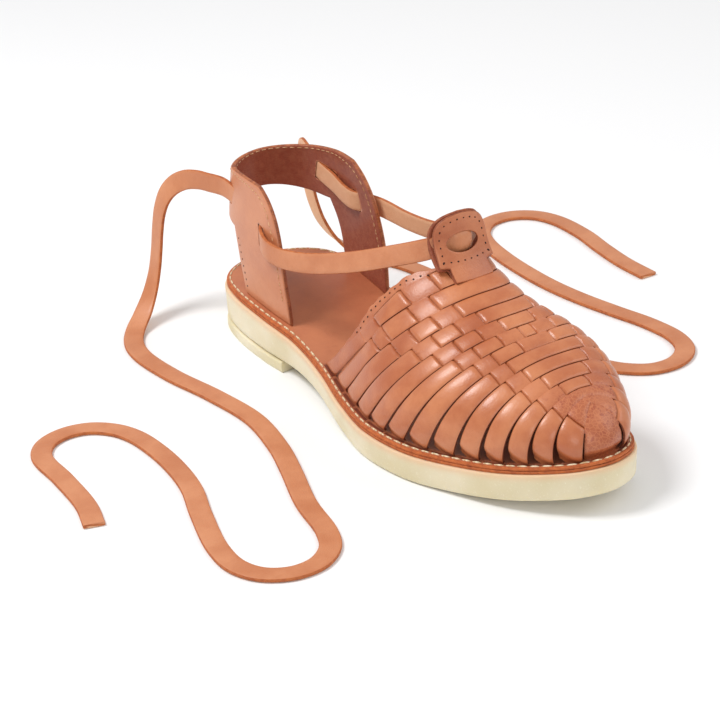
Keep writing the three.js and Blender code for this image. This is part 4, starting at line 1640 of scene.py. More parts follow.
    def sheet(self) -> Body:
        """The slit upper with its ear panels and toe tongue.

        Returns:
            The body, marked with edge, flesh, crevice and worn.
        """
        surface = self.surface
        ahead = (0.1, 0.25, 0.38, 0.45, 0.47, 0.485)
        offsets = (-0.5, *(-share for share in reversed(ahead)), *ahead)
        back = np.array([0, 0.012, 0.035, 0.07, 0.12, 0.2, 0.3, 0.42, 0.55, 0.7, 0.85])
        rows = [i + o for i in range(len(CHART)) for o in offsets]
        fold = surface.fold_row
        rows = np.array([*rows, *np.linspace(12.5, fold - 0.06, 8), fold - 0.03, fold])
        rows = rows[rows > -0.46]
        middle = np.linspace(0, 1, 98)
        outer = 1 + np.r_[0.002, 0.0045, 0.008, np.linspace(0.03, 0.97, 34), 1.0]
        c = np.r_[-outer[::-1], -middle[:0:-1], middle, outer]
        topline = self.topline(self.place(np.full(len(c), self.back_edge), c))
        behind = [mix(topline, rows[0], share) for share in back]
        grid_rows = np.array([*behind, *(np.full(len(c), row) for row in rows)])
        dist = np.array([self.place(np.clip(line, self.back_edge, fold), c) for line in grid_rows])
        height, pressed = self.sheet_height(grid_rows, dist)
        total = surface.total_at(grid_rows, dist)
        height = height - 2.2 * smooth((np.abs(dist) - (total - 5.0)) / 6.0) ** 1.4
        grid, normal = surface.at(grid_rows, dist), surface.normal(grid_rows, dist)
        row_mid = (grid_rows[:-1, :-1] + grid_rows[1:, 1:]) / 2
        c_mid = np.abs((c[:-1] + c[1:]) / 2)[None, :] * np.ones((len(grid_rows) - 1, 1))
        keep = (c_mid < 1) | (row_mid < 0.44) | (row_mid > 12.5)
        worn = smooth((grid_rows - 9.3) / 1.6) * smooth((34 - np.abs(dist)) / 16)
        # Painted shade where the sheet is pressed under a strip.
        marks = {"crevice": pressed * 0.85, "worn": worn}
        grid[-1] = (grid[-1] + grid[-1][::-1]) / 2
        normal[-1] = unit(normal[-1] + normal[-1][::-1])
        height[-1] = (height[-1] + height[-1][::-1]) / 2
        return sheet_body(grid, normal, height, height - self.sheet_thick, keep, 0.5, marks, folded=True)

    def edge_holes(self, inset: float) -> tuple[np.ndarray, np.ndarray]:
        """Line of needle holes along the sheet's back edge, on both sides of the tab.

        Args:
            inset: Distance from the edge in mm.

        Returns:
            The line and its outward directions.
        """
        s = np.linspace(-self.hole_reach, self.hole_reach, 400)
        s = s[np.abs(s) > self.hole_start]
        row = self.topline(s) + inset / self.row_length
        normal = self.surface.normal(row, s)
        return self.surface.at(row, s) + normal * (-self.raised + 0.12), normal


# Instep tab


@dataclass
class InstepTab:
    """Two plates with an oval window, and the tongue that ties them to the weave."""

    surface: VampSurface
    middle_x: float = -6.5
    tongue_side: float = 9.6
    seam_half: float = 10.8
    window: tuple = (7.6, 4.6)
    plate: float = 1.5
    tongue_half: float = 9.0
    tongue_end: float = 6.6
    route: tuple = (
        (169.5, 67.2, 13.5, 3.0), (165.5, 71.2, 13.2, 3.4), (161.6, 75.4, 12.9, 5.2),
        (158.9, 80.6, 12.9, 5.8),
        (158.0, 85.6, 12.6, 5.2), (158.2, 89.4, 11.2, 3.8), (158.7, 92.0, 8.4, 3.2), (159.0, 93.3, 4.6, 3.0),
        (159.1, 93.9, 0.3, 3.0),
    )

    def __post_init__(self) -> None:
        """Measures the plate's side view."""
        table = np.array(self.route)
        fine = spline(table, np.linspace(0, 1, 161), False)
        lengths = np.r_[0, np.cumsum(np.linalg.norm(np.diff(fine[:, :2], axis=0), axis=1))]
        self.height = lengths[-1]
        self.side_view = TableCurve(np.column_stack([lengths, fine])[::8])
        self.window_at = float(np.interp(80.6, fine[:, 1], lengths))

    def plate_point(self, x: np.ndarray, up: np.ndarray, share: np.ndarray) -> np.ndarray:
        """Point of the plate.

        Args:
            x: Distance from its middle.
            up: Distance up its side view.
            share: Share of its half thickness, less than 0 behind.

        Returns:
            Points in mm.
        """
        values = self.side_view(up)
        ahead, behind = self.side_view(up + 0.4), self.side_view(up - 0.4)
        slope = unit((ahead - behind)[..., :2])
        y = values[..., 0] - 1.6 * (x / 12.9).clip(-1, 1) ** 2
        push = share * values[..., 3] / 2
        return stack(self.middle_x + x, y + slope[..., 1] * push, values[..., 1] - slope[..., 0] * push)

    def outline(self, angle: np.ndarray) -> np.ndarray:
        """Outline of the plate, seen from the window's middle.

        Args:
            angle: Angles round the middle.

        Returns:
            Distance to the edge at each.
        """
        up = np.linspace(0, self.height, 240)
        half = mix(self.tongue_half, self.side_view(up)[:, 2], smooth((up - self.tongue_end) / 0.7))
        right = np.stack([half, up], 1)
        base = np.stack([np.linspace(-half[0], half[0], 60), np.zeros(60)], 1)
        edge = np.vstack([right, right[::-1] * [-1, 1], base]) - [0, self.window_at]
        edge = edge[np.argsort(np.arctan2(edge[:, 1], edge[:, 0]))]
        known = np.arctan2(edge[:, 1], edge[:, 0])
        return np.interp(angle, known, np.hypot(*edge.T), period=2 * np.pi)

    def plate_body(self, front: bool) -> Body:
        """One plate, ring by ring from the window to its edge.

        Args:
            front: Whether it is the front plate.

        Returns:
            The body, marked with edge and flesh.
        """
        angle = np.linspace(-np.pi, np.pi, 144, endpoint=False)
        a, b = self.window
        hole = a * b / np.hypot(b * np.cos(angle), a * np.sin(angle))
        edge = self.outline(angle)
        shares = np.array([0, 0.02, 0.06, 0.13, 0.25, 0.4, 0.55, 0.7, 0.84, 0.93, 0.975, 1.0])
        reach = mix(hole[None], edge[None], shares[:, None])
        x, up = reach * np.cos(angle), self.window_at + reach * np.sin(angle)
        near = np.minimum(reach - hole, edge - reach)
        pinch = 0.55 * (1 - np.sqrt(1 - np.clip(1 - near / 0.6, 0, 1) ** 2))
        thick = self.side_view(np.clip(up, 0, self.height))[..., 3]
        outer = 1 - pinch / (thick / 2)
        inner = 1 - (self.plate - 0.08 - pinch) / (thick / 2)
        sign = 1 if front else -1
        layers = [self.plate_point(x, np.clip(up, 0, self.height), sign * share) for share in (outer, inner)]
        rings, count = reach.shape
        ids = np.arange(rings * count).reshape(rings, count)
        shift = rings * count
        follow = np.roll(ids, -1, axis=1)
        faces = []
        for r in range(rings - 1):
            for p, q, t, u in zip(ids[r], follow[r], follow[r + 1], ids[r + 1]):
                faces.append((p, q, t, u))
                faces.append((u + shift, t + shift, q + shift, p + shift))
        for line, after, flip in ((ids[0], follow[0], True), (ids[-1], follow[-1], False)):
            for p, q in zip(line, after):
                faces.append((q, p, p + shift, q + shift) if flip else (p, q, q + shift, p + shift))
        if not front:
            faces = [face[::-1] for face in faces]
        edge_mark = np.clip(1 - near / 0.35, 0, 1).reshape(-1)
        marks = {"edge": np.tile(edge_mark, 2), "flesh": np.r_[np.zeros(shift), np.ones(shift)]}
        points = np.vstack([layer.reshape(-1, 3) for layer in layers])
        return Body(points, [tuple(int(v) for v in face) for face in faces], marks)

    def hole_line(self, inset: float) -> tuple[np.ndarray, np.ndarray]:
        """Line of needle holes inside the plate's edge, open at the tongue.

        Args:
            inset: Distance from the edge in mm.

        Returns:
            The line and its outward directions.
        """
        angle = np.linspace(-np.pi, np.pi, 200, endpoint=False)
        reach = self.outline(angle) - inset
        x, up = reach * np.cos(angle), self.window_at + reach * np.sin(angle)
        keep = up > 9.0
        x, up = x[keep], up[keep]
        start = int(np.argmax(np.diff(np.r_[angle[keep][0], angle[keep]])))
        x, up = np.roll(x, -start), np.roll(up, -start)
        line = self.plate_point(x, up, np.ones(len(x)))
        return line, unit(line - self.plate_point(x, up, np.zeros(len(x))))

    def seam_line(self) -> tuple[np.ndarray, np.ndarray]:
        """Line of needle holes across the tab's base.

        Returns:
            The line and its outward directions.
        """
        x = np.linspace(-self.seam_half, self.seam_half, 40)
        up = self.window_at - 8.6 + 0.9 * (x / self.seam_half) ** 2
        line = self.plate_point(x, up, np.ones(len(x)))
        return line, unit(line - self.plate_point(x, up, np.zeros(len(x))))

    def tongue(self) -> Body:
        """Rectangular end of the tab's leather, laid over the back of the weave.

        Returns:
            The body, marked with edge and flesh.
        """
        rows = np.r_[-0.62, -0.6, -0.56, np.linspace(-0.5, 0.4, 12), 0.44, 0.462, 0.48]
        rim = np.array([8.8, 9.2, 9.45, self.tongue_side])
        s = np.r_[-rim[::-1], np.linspace(-8, 8, 18), rim]
        grid_rows, dist = np.meshgrid(rows, s, indexing="ij")
        grid, normal = self.surface.at(grid_rows, dist), self.surface.normal(grid_rows, dist)
        top = 0.55 - 0.9 * smooth((grid_rows - 0.3) / 0.18)
        keep = np.ones((len(rows) - 1, len(s) - 1), bool)
        return sheet_body(grid, normal, top, top - 1.2, keep, 0.45)


# Quarter


@dataclass
class Quarter:
    """Heel piece: a leg on each side and the band behind the heel."""

    sole: SoleShape
    wall: float = 2.4
    arch_row: float = 3.0
    arch_rise: float = 6.0
    back_dip: float = 3.0
    leg: tuple = ((24, 36, 75.5), (34, 34, 74.6), (44, 31, 73.2), (53, 27, 71.4), (62, 23, 68.6),
                  (69, 21, 65.0), (75, 20, 59.5), (79.5, 19, 52.0))
    insets: tuple = ((24, 4.6), (42, 4.0), (60, 5.0), (80, 7.0))
    band_columns: int = 26
    leg_end: float = 0.35
    inset_step: float = 0.25
    sunk: float = 0.9
    dip_run: float = 45.0

    def __post_init__(self) -> None:
        """Prepares the leg's curves."""
        self.legs = TableCurve([(level, *row) for level, row in enumerate(self.leg)])
        self.inset = TableCurve(self.insets)
        self.inset_grid = np.arange(3.0, 11.01, self.inset_step)
        keys = self.sole.keys[:len(self.sole.keys) // 2 + 1]
        self.outlines = {
            side: np.array([self.sole.at(side, keys, inset) for inset in self.inset_grid]) for side in SIDES
        }

    def outline_at(self, side: int, y: np.ndarray, inset: np.ndarray) -> np.ndarray:
        """Point of the sole's outline, for many insets at once.

        Args:
            side: 1 lateral, -1 medial.
            y: Distance from the heel.
            inset: Distance inwards.

        Returns:
            Points with x and y.
        """
        y, inset = np.broadcast_arrays(np.asarray(y, float), np.asarray(inset, float))
        place = np.clip((inset - self.inset_grid[0]) / self.inset_step, 0, len(self.inset_grid) - 1.001)
        j = place.astype(int)
        t = place - j
        found = np.zeros(y.shape + (2,))
        for n in np.ndindex(y.shape):
            line = mix(self.outlines[side][j[n]], self.outlines[side][j[n] + 1], t[n])
            known = rising(line[:, 1])
            found[n] = np.interp(y[n], known, line[:, 0]), np.clip(y[n], known[0], known[-1])
        return found

    def point(self, level: np.ndarray, place: np.ndarray, depth: float) -> np.ndarray:
        """Point of the wall.

        Args:
            level: 0 at the footbed to 7 at the band's top.
            place: 0 and 2 at the front edges, 1 at the back of the heel; leg_end at a leg's rear.
            depth: Distance inwards from the outer face.

        Returns:
            Points in mm.
        """
        level, place = np.broadcast_arrays(np.asarray(level, float), np.asarray(place, float))
        height, rear, front = (self.legs(level)[..., k] for k in range(3))
        side = np.where(place <= 1, 1, -1)
        n = np.where(place <= 1, place, 2 - place)
        in_band = mix(rear, 0.0, (n - self.leg_end) / (1 - self.leg_end))
        along = np.where(n <= self.leg_end, mix(front, rear, n / self.leg_end), in_band)
        back = np.clip(1 - along / rear, 0, 1)
        last = len(self.leg) - 1
        fade = 1 - (level - self.arch_row) / (len(self.leg) - self.arch_row)
        rise = np.where(level >= self.arch_row - 1e-6, self.arch_rise * smooth(back) * fade, 0)
        dip = self.back_dip * smooth(1 - along / self.dip_run) * (level / last) ** 3
        inset = self.inset(height) + depth
        y = np.where(back > 0, mix(inset, rear, 1 - np.cos((1 - back) * np.pi / 2)), along)
        flat = np.where((side > 0)[..., None], self.outline_at(1, y, inset), self.outline_at(-1, y, inset))
        low = self.sole.footbed_top(flat[..., 1]) + GAP - self.sunk
        z = np.where(level < 1, mix(low, self.leg[1][0] + rise - dip, level), height + rise - dip)
        return stack(flat[..., 0], flat[..., 1], z)

    def body(self) -> Body:
        """The wall as a rounded sheet.

        Returns:
            The body, marked with edge and flesh.
        """
        legs = np.r_[0, 0.004, 0.012, 0.03, np.linspace(0.06, 0.30, 8), 0.325, 0.34, 0.347, self.leg_end]
        half = np.r_[legs, np.linspace(0.38, 1.0, self.band_columns)]
        places = np.r_[half, 2 - half[-2::-1]]
        last = len(self.leg) - 1
        lower = np.r_[0, np.linspace(0.25, 2.9, 16), 3.0, 3.03, 3.09, 3.2]
        levels = np.r_[lower, np.linspace(3.45, 6.7, 20), 6.82, 6.9, 6.96, 6.985, last]
        level_grid, place_grid = np.meshgrid(levels, places, indexing="ij")
        outer = self.point(level_grid, place_grid, 0.0)
        inner = self.point(level_grid, place_grid, self.wall)
        through = outer - inner
        thick = np.linalg.norm(through, axis=-1)
        normal = unit(through)
        mid = np.minimum((places[:-1] + places[1:]) / 2, 2 - (places[:-1] + places[1:]) / 2)
        keep = (levels[:-1, None] >= self.arch_row - 1e-6) | (mid[None, :] < self.leg_end)
        body = sheet_body(outer, normal, np.zeros(thick.shape), -thick, keep, 0.9)
        body.faces = [face[::-1] for face in body.faces]
        return body

    def line(self, spots: np.ndarray, lift: float, inside: bool = False) -> tuple[np.ndarray, np.ndarray]:
        """Line over a face of the wall.

        Args:
            spots: Level and place of the points it passes.
            lift: Height over the face in mm.
            inside: Whether it is the inner face.

        Returns:
            The line and the directions away from the wall.
        """
        level, place = spline(spots, np.linspace(0, 1, 240), False).T
        depth, within = (self.wall, self.wall - 1.0) if inside else (0.0, 1.0)
        face = self.point(level, place, depth)
        normal = unit(face - self.point(level, place, within))
        return face + normal * lift, normal


# Laces


LACE_ROUTE = (
    (25.2, 9, 68, 0), (22.8, 15.5, 67.6, 0), (22.2, 24, 66, 0), (22.9, 34, 63.6, 0), (23.3, 44, 61, 0),
    (24.8, 51, 59.2, 0), (28.6, 57, 57.4, 0), (30.4, 64, 55.6, 2), (29.8, 72.5, 54.6, 4),
    (26.4, 87, 55.9, 8), (21.9, 103.7, 60, 12), (17.4, 120, 65.3, 15), (13, 136, 71.6, 14),
    (8.6, 150, 77.3, 8), (3.6, 156.2, 79.9, 4), (-6.5, 158, 80.6, 0), (-16.6, 155.4, 79.4, -4),
    (-21.4, 146.6, 75.6, -8), (-23.6, 129, 69.4, -10), (-25.4, 109.2, 64.4, -8), (-27, 88, 61.4, -4),
    (-28.4, 72.5, 60.2, 0), (-28.4, 64, 59.8, 0), (-26.6, 57, 59.8, 0), (-23.2, 51, 60.2, 0),
    (-22.9, 44, 61, 0), (-23.8, 34, 63, 0), (-23.5, 24, 65.6, 0), (-24.2, 15.5, 67.6, 0), (-26.6, 9, 68, 0),
)
TIE_DROP = (
    (25.5, 8.3, 68, 0), (28, 1.4, 68, 0), (31, -5.4, 66.6, 0), (34.1, -11.6, 62.7, 0), (36.6, -15.9, 56.9, 0),
    (38.6, -18.1, 49.4, 0), (40.2, -18.7, 40.6, 0), (41.9, -18.2, 31.4, 0.1), (44.6, -16.8, 22.2, 0.25),
    (49.4, -14, 13.4, 0.5), (56.2, -9.6, 6.4, 0.8), (64, -3.2, 2.2, 1), (70.2, 6.6, 1.1, 1),
)
TIE_ON_FLOOR = {
    Side.LATERAL: (
        (73.6, 20), (72.8, 46), (68, 76), (65.8, 106), (71, 135), (77, 154), (86.8, 182), (92.4, 206.5),
        (98, 217.6), (107.4, 224.4), (118.6, 224.8), (128.4, 218.8), (133.4, 208), (132.6, 192),
        (124.4, 164), (117, 143), (113.4, 124), (112.2, 105), (113.4, 88), (117.6, 77), (125.6, 69.2),
        (136.2, 67), (146.6, 71), (153, 80.4), (154.6, 103), (157.4, 129), (162, 145),
    ),
    Side.MEDIAL: (
        (-75, 20), (-76.4, 47), (-73, 78), (-70.6, 107), (-73.6, 134), (-78.4, 152), (-85.4, 165.6),
        (-95.4, 173.6), (-107.4, 174.2), (-117.6, 167.4), (-122.6, 155), (-122.4, 137), (-118.4, 116),
        (-115, 96), (-113.2, 76), (-113.4, 56), (-115.2, 35), (-119.4, 14), (-125, 2.6), (-134.6, -4.6),
        (-146.4, -5), (-156.4, 1.6), (-161.4, 13.4), (-161.4, 36), (-158, 56), (-155.4, 76), (-155, 95),
    ),
}
TIE_ROUTES = {
    side: [(x if side is Side.LATERAL else -x - 1.4, y, z, flat) for x, y, z, flat in TIE_DROP]
    + [(x, y, 1.1, 1.0) for x, y in rows]
    for side, rows in TIE_ON_FLOOR.items()
}


@dataclass
class Lace:
    """Flat leather lace: its held stretch and its two free ends."""

    width: float = 9.0
    thick: float = 1.7
    room: float = 0.4
    window_x: float = -6.5

    def held(self, extra: float = 0.0) -> Body:
        """The stretch from slit to slit, through the tab.

        Args:
            extra: How much wider and thicker it is, to cut the slits with; then it stays flat.

        Returns:
            The body, marked with edge and flesh.
        """
        first, last = TIE_ROUTES[Side.LATERAL][0][:3], TIE_ROUTES[Side.MEDIAL][0][:3]
        table = np.array([(*first, 0), *LACE_ROUTE, (*last, 0)], float)
        share = np.linspace(0, 1, 320)
        points = spline(table[:, :3], share, False)
        turn = np.radians(np.interp(share * (len(table) - 1), range(len(table)), table[:, 3]))
        widths = stack(-np.sin(turn), np.zeros(len(turn)), np.cos(turn))
        thick = np.full(len(share), self.thick + extra)
        width = np.full(len(share), self.width + extra)
        rolled = np.zeros(len(share))
        if not extra:
            across = points[:, 0] - self.window_x
            rolled = np.exp(-(((across + 0.9) / 4.6) ** 4)) * (points[:, 1] > 150)
            window = 10.4 * np.sqrt(np.maximum(1 - (across / 7.8) ** 2, 0.3))
            thick = thick + 3.4 * rolled
            width = mix(width, np.minimum(9.8, window), rolled)
            points = points + np.array([0.0, 1.3, 0.1]) * rolled[:, None]
        return strap_body(points, widths, width, thick, rolled)

    def tie_path(self, side: Side) -> np.ndarray:
        """Middle line of a free end.

        Args:
            side: Its side.

        Returns:
            Points in mm.
        """
        return spline(np.array(TIE_ROUTES[side], float)[:, :3], np.linspace(0, 1, 420), False)

    def tie(self, side: Side) -> Body:
        """A free end, from its back slit to the floor.

        Args:
            side: Its side.

        Returns:
            The body, marked with edge and flesh.
        """
        points = self.tie_path(side)
        table = np.array(TIE_ROUTES[side], float)
        flat = np.interp(np.linspace(0, 1, len(points)) * (len(table) - 1), range(len(table)), table[:, 3])
        along = unit(np.gradient(points, axis=0))
        level = unit(np.cross([0.0, 0.0, 1.0], along))
        hanging = unit(np.cross([float(side.value), 0.0, 0.0], along))
        widths = unit(mix(hanging, level, smooth(flat)[:, None]))
        ones = np.ones(len(points))
        return strap_body(points, widths, self.width * ones, self.thick * ones, 0 * ones)


# Stitches and needle holes


class StitchRun:
    """Geometry Nodes tree that lays one small shape after another along a path."""

    INPUTS = {"Pitch": 0.004, "Length": 0.003, "Width": 0.0008, "Height": 0.0006, "Spread": 0.06}

    def __init__(self) -> None:
        """Builds the tree."""
        self.tree = bpy.data.node_groups.new("stitch_run", "GeometryNodeTree")
        face = self.tree.interface
        face.new_socket(name="Path", in_out="INPUT", socket_type="NodeSocketGeometry")
        for name, value in self.INPUTS.items():
            socket = face.new_socket(name=name, in_out="INPUT", socket_type="NodeSocketFloat")
            socket.default_value = value
        face.new_socket(name="Finish", in_out="INPUT", socket_type="NodeSocketMaterial")
        face.new_socket(name="Stitches", in_out="OUTPUT", socket_type="NodeSocketGeometry")
        g = Graph(self.tree)
        start, end = g.add("NodeGroupInput"), g.add("NodeGroupOutput")
        path = g.add("GeometryNodeMeshToCurve", {"Mesh": start.outputs["Path"]})
        steps = {"Curve": path.outputs[0], "Length": start.outputs["Pitch"]}
        even = g.add("GeometryNodeResampleCurve", steps, mode="LENGTH")
        up = g.add("GeometryNodeInputNamedAttribute", {"Name": "outward"}, data_type="FLOAT_VECTOR")
        along = g.add("GeometryNodeInputTangent")
        turned = g.add("FunctionNodeAlignRotationToVector", {"Vector": along.outputs[0]}, axis="X")
        upright = {"Rotation": turned.outputs[0], "Vector": up.outputs[0]}
        turned = g.add("FunctionNodeAlignRotationToVector", upright, axis="Z", pivot_axis="X")
        bead = g.add("GeometryNodeMeshUVSphere", {"Segments": 8, "Rings": 5, "Radius": 0.5})
        sides = {n: start.outputs[name] for n, name in enumerate(("Length", "Width", "Height"))}
        size = g.add("ShaderNodeCombineXYZ", sides)
        sized = g.add("GeometryNodeTransform", {"Geometry": bead.outputs[0], "Scale": size.outputs[0]})
        low = g.math("SUBTRACT", 1.0, start.outputs["Spread"])
        high = g.math("ADD", 1.0, start.outputs["Spread"])
        chance = g.add("FunctionNodeRandomValue", {2: low, 3: high, 8: 7}, data_type="FLOAT")
        placed = g.add("GeometryNodeInstanceOnPoints", {
            "Points": even.outputs[0], "Instance": sized.outputs[0], "Rotation": turned.outputs[0],
            "Scale": chance.outputs[1],
        })
        real = g.add("GeometryNodeRealizeInstances", {0: placed.outputs[0]})
        soft = g.add("GeometryNodeSetShadeSmooth", {0: real.outputs[0]})
        dressed = {"Geometry": soft.outputs[0], "Material": start.outputs["Finish"]}
        done = g.add("GeometryNodeSetMaterial", dressed)
        self.tree.links.new(done.outputs[0], end.inputs[0])
        self.ids = {item.name: item.identifier for item in face.items_tree if item.in_out == "INPUT"}

    def lay(self, name: str, paths: Sequence[tuple[np.ndarray, np.ndarray, bool]], finish: bpy.types.Material,
            **sizes: float) -> bpy.types.Object:
        """Lays stitches along paths.

        Args:
            name: Name of the piece.
            paths: Each a line of points in mm, the outward direction at each, and whether it is closed.
            finish: Material of the stitches.
            sizes: Pitch, Length, Width, Height and Spread in mm, Spread as a share.

        Returns:
            The piece as a plain mesh.
        """
        points, edges, outward = [], [], []
        for line, normals, closed in paths:
            at = len(points)
            points += to_frame(line).tolist()
            outward += normals.tolist()
            count = len(line)
            edges += [(at + n, at + n + 1) for n in range(count - 1)]
            if closed:
                edges.append((at + count - 1, at))
        mesh = bpy.data.meshes.new(name)
        mesh.from_pydata(points, edges, [])
        layer = mesh.attributes.new("outward", "FLOAT_VECTOR", "POINT")
        layer.data.foreach_set("vector", np.asarray(outward, np.float32).reshape(-1))
        piece = add_object(name, mesh)
        run = piece.modifiers.new("stitches", "NODES")
        run.node_group = self.tree
        for label, value in sizes.items():
            run[self.ids[label]] = float(value) * (1.0 if label == "Spread" else MM)
        run[self.ids["Finish"]] = finish
        bake(piece)
        if not piece.data.materials:
            piece.data.materials.append(finish)
        return piece


# Studio


@dataclass
class PhotoCamera:
    """Camera that sees the shoe from the photograph's angle."""

    position: tuple = (0.5158, 0.81023, 0.48565)
    target: tuple = (-0.00574, -0.0464, 0.0)
    up: tuple = (-0.27586, -0.34145, 0.89851)
    lens: float = 126.0

    def make(self) -> None:
        """Adds the camera."""
        data = bpy.data.cameras.new("photo_camera")
        data.lens, data.sensor_width = self.lens, 36.0
        data.clip_start, data.clip_end = 0.05, 20.0
        camera = add_object("photo_camera", data)
        back = (Vector(self.position) - Vector(self.target)).normalized()
        right = Vector(self.up).cross(back).normalized()
        above = back.cross(right)
        turn = Matrix((right, above, back)).transposed().to_4x4()
        camera.matrix_world = Matrix.Translation(self.position) @ turn
        bpy.context.scene.camera = camera


@dataclass
class Studio:
    """Pale floor and soft lights."""

    floor_half: float = 6.0
    sky: float = 0.58
    lamps: tuple = (
        ("key_light", (0.58, -0.3, 1.15), (0.0, 0.02, 0.03), 0.5, 10.5),
        ("fill_light", (-0.9, 0.6, 0.9), (0.0, 0.0, 0.03), 0.9, 3.5),
        ("front_light", (0.5, 1.3, 0.7), (0.0, 0.0, 0.05), 0.7, 3.0),
    )

    def make(self) -> None:
        """Adds the floor, the sky and the lamps."""
        bpy.context.scene.view_settings.view_transform = "Standard"
        material, g, shader = new_material("studio_floor")
        where = g.add("ShaderNodeTexCoord").outputs["Object"]
        cloud = g.noise(where, 2.0, 2.0).outputs["Fac"]
        g.feed(shader, {"Base Color": g.blend(cloud, linear("F4F4F5"), linear("F7F7F7")), "Roughness": 0.6})
        half = self.floor_half
        mesh = bpy.data.meshes.new("studio_floor")
        corners = [(-half, -half, 0), (half, -half, 0), (half, half, 0), (-half, half, 0)]
        mesh.from_pydata(corners, [], [(0, 1, 2, 3)])
        mesh.materials.append(material)
        floor = add_object("studio_floor", mesh)
        world = bpy.data.worlds.new("studio_sky")
        world.use_nodes = True
        background = world.node_tree.nodes["Background"]
        Graph(world.node_tree).feed(background, {"Color": (1.0, 1.0, 1.0, 1.0), "Strength": self.sky})
        bpy.context.scene.world = world
        for name, place, aim, size, power in self.lamps:
            data = bpy.data.lights.new(name, "AREA")
            data.shape, data.size, data.energy = "DISK", size, power
            lamp = add_object(name, data)
            lamp.location = place
            lamp.rotation_euler = (Vector(place) - Vector(aim)).to_track_quat("Z", "Y").to_euler()


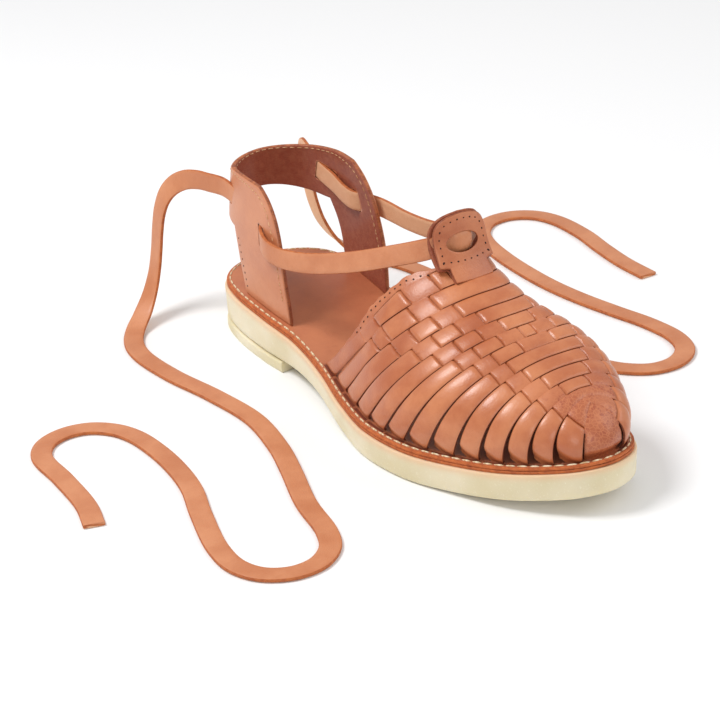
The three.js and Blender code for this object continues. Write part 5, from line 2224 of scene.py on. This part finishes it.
class Sandal:
    """Builds every piece of the shoe and attaches each to the root body."""

    def __init__(self) -> None:
        """Prepares the shapes and finishes."""
        self.shape = SoleShape()
        self.surface = VampSurface(self.shape)
        self.vamp = WovenVamp(self.surface)
        self.tab = InstepTab(self.surface)
        self.quarter = Quarter(self.shape)
        self.lace = Lace()
        self.stitches = StitchRun()
        groups = {"grain": grain_group(), "fibre": fibre_group(), "crumb": crumb_group()}
        finishes = (
            LeatherFinish("upper_leather", bump=0.22),
            LeatherFinish("quarter_leather", light="CF8860", dark="BB7049", back="8E402A", raw="BC6C3C",
                          cloud=30.0, bump=0.18),
            # The strips' cut edges get a darker raw colour, which also paints the shade in the gaps between
            # strips.
            LeatherFinish("strip_leather", light="CC8054", dark="B26139", raw="8E4A2A", raw_dark="54200F",
                          bump=0.2, roughness=0.36, coat=0.25),
            # The footbed's finish paints the shade in its slots dark red.
            LeatherFinish("foot_leather", light="C2764F", dark="AC6040", raw="D07238", raw_dark="9C471C",
                          crevice="7A3822", cloud=22.0, crease=0.15, bump=0.15, roughness=0.5, coat=0.05),
            LeatherFinish("lace_leather", light="D08A60", dark="BF7449", back="E3B088", raw="C8743C",
                          raw_dark="9C4A20", bump=0.25, roughness=0.45, coat=0.1),
            EdgeFinish("edge_leather"), CrepeFinish("crepe_rubber"), ThreadFinish("cream_thread"),
            ThreadFinish("tan_thread", light="DDB58A", dark="B88456"),
            # Painted shade for the needle holes
            ThreadFinish("painted_hole_shade", light="3A1A12", dark="2A100A", roughness=0.9),
        )
        self.finish = {finish.name: finish.material(groups) for finish in finishes}

    def place(self, piece: bpy.types.Object, slot: str, *nodes: str) -> bpy.types.Object:
        """Attaches a piece to the root body and hides the solids that it replaces.

        Args:
            piece: The piece, which rides on root.
            slot: Not used.
            nodes: Nodes of the solids that it replaces.

        Returns:
            The piece.
        """
        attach(piece, "root")
        if nodes:
            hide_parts(*nodes)
        LOG.info("%s: %d faces", piece.name, len(piece.data.polygons))
        return piece

    def build_ties(self) -> None:
        """The lace's free ends, made as flat straps."""
        for side, name in ((Side.LATERAL, "tie_lateral"), (Side.MEDIAL, "tie_medial")):
            path = to_frame(self.lace.tie_path(side))
            strap = self.lace.tie(side).make(f"{name}_strap", self.finish["lace_leather"])
            piece = self.place(strap, "lace_leather", name)

    def build_sole(self) -> None:
        """Crepe, heel lift, midsole, footbed and the stitches round them."""
        slots = []
        for side in SIDES:
            column = 0 if side > 0 else 1
            for row in range(len(CHART)):
                centre = float(self.surface.rows(float(row))[column])
                ahead = float(self.surface.rows(row + 0.45)[column])
                slots.append((side, min(centre, 252.0), abs(ahead - centre)))
        sole = Sole(self.shape, slots)
        crepe, edge, foot = (self.finish[name] for name in ("crepe_rubber", "edge_leather", "foot_leather"))
        self.place(sole.outsole().make("sole_crepe", crepe), "crepe", "outsole")
        self.place(sole.heel_lift().make("sole_heel_lift", crepe), "crepe", "heel_lift")
        self.place(sole.midsole().make("sole_midsole", edge), "edge_leather", "midsole")
        self.place(sole.footbed().make("sole_footbed", foot), "foot_leather", "footbed")
        line, up = sole.rim_line(2.7, 0.12)
        run = self.stitches.lay("sole_stitches", [(line, up, True)], self.finish["cream_thread"],
                                Pitch=5.0, Length=4.4, Width=0.8, Height=0.8, Spread=0.05)
        self.place(run, "lace_leather")

    def build_upper(self) -> None:
        """Woven vamp, tab, quarter and lace."""
        leather, strip = self.finish["upper_leather"], self.finish["strip_leather"]
        self.place(self.vamp.sheet().make("vamp_sheet", leather, weld=0.02), "upper_leather", "vamp")
        self.place(self.vamp.strips().make("vamp_strips", strip), "upper_leather")
        self.place(self.tab.plate_body(True).make("tab_front", leather), "upper_leather")
        self.place(self.tab.plate_body(False).make("tab_back", leather), "upper_leather")
        self.place(self.tab.tongue().make("tab_tongue", leather), "upper_leather")
        quarter = self.quarter.body().make("quarter_wall", self.finish["quarter_leather"], weld=0.02)
        cut(quarter, self.lace.held(2 * self.lace.room))
        self.place(quarter, "upper_leather", "quarter")
        self.place(self.lace.held().make("lace_held", self.finish["lace_leather"]), "lace_leather", "lace")
        self.build_stitches()

    def build_stitches(self) -> None:
        """Thread of the upper, and dark beads that paint the shade in its needle holes."""
        holes = [(*self.tab.hole_line(2.4), False), (*self.tab.seam_line(), False)]
        ear_line, ear_up = self.vamp.edge_holes(2.6)
        half = len(ear_line) // 2
        holes += [(ear_line[:half], ear_up[:half], False), (ear_line[half:], ear_up[half:], False)]
        leg = np.array([(0.5, 0.315), (1.5, 0.315), (2.6, 0.315)])
        for mirror in (False, True):
            spots = leg * [1, -1] + [0, 2] if mirror else leg
            holes.append((*self.quarter.line(spots, 0.02), False))
        # Painted shade: a dark bead stands in for each needle hole.
        piece = self.stitches.lay("upper_painted_hole_shade", holes, self.finish["painted_hole_shade"],
                                  Pitch=3.1, Length=0.95, Width=0.8, Height=0.25, Spread=0.1)
        self.place(piece, "upper_leather")
        top = np.array([(1.0, 0.028), (3.0, 0.03), (4.5, 0.032), (5.6, 0.04), (6.35, 0.09), (6.6, 0.2),
                        (6.62, 0.5), (6.62, 1.0)])
        mirrored = top[-2::-1] * [1, -1] + [0, 2]
        whole = np.vstack([top, mirrored])
        threads = [(*self.quarter.line(whole, 0.05, inside), False) for inside in (False, True)]
        piece = self.stitches.lay("quarter_stitches", threads, self.finish["tan_thread"],
                                  Pitch=3.3, Length=2.5, Width=0.45, Height=0.4, Spread=0.06)
        self.place(piece, "upper_leather")


def main() -> None:
    """Builds the camera, the lace's free ends, the shoe and the studio."""
    logging.basicConfig(level=logging.INFO, format="%(message)s")
    PhotoCamera().make()
    sandal = Sandal()
    sandal.build_ties()
    sandal.build_sole()
    sandal.build_upper()
    Studio().make()


if __name__ == "__main__":
    main()
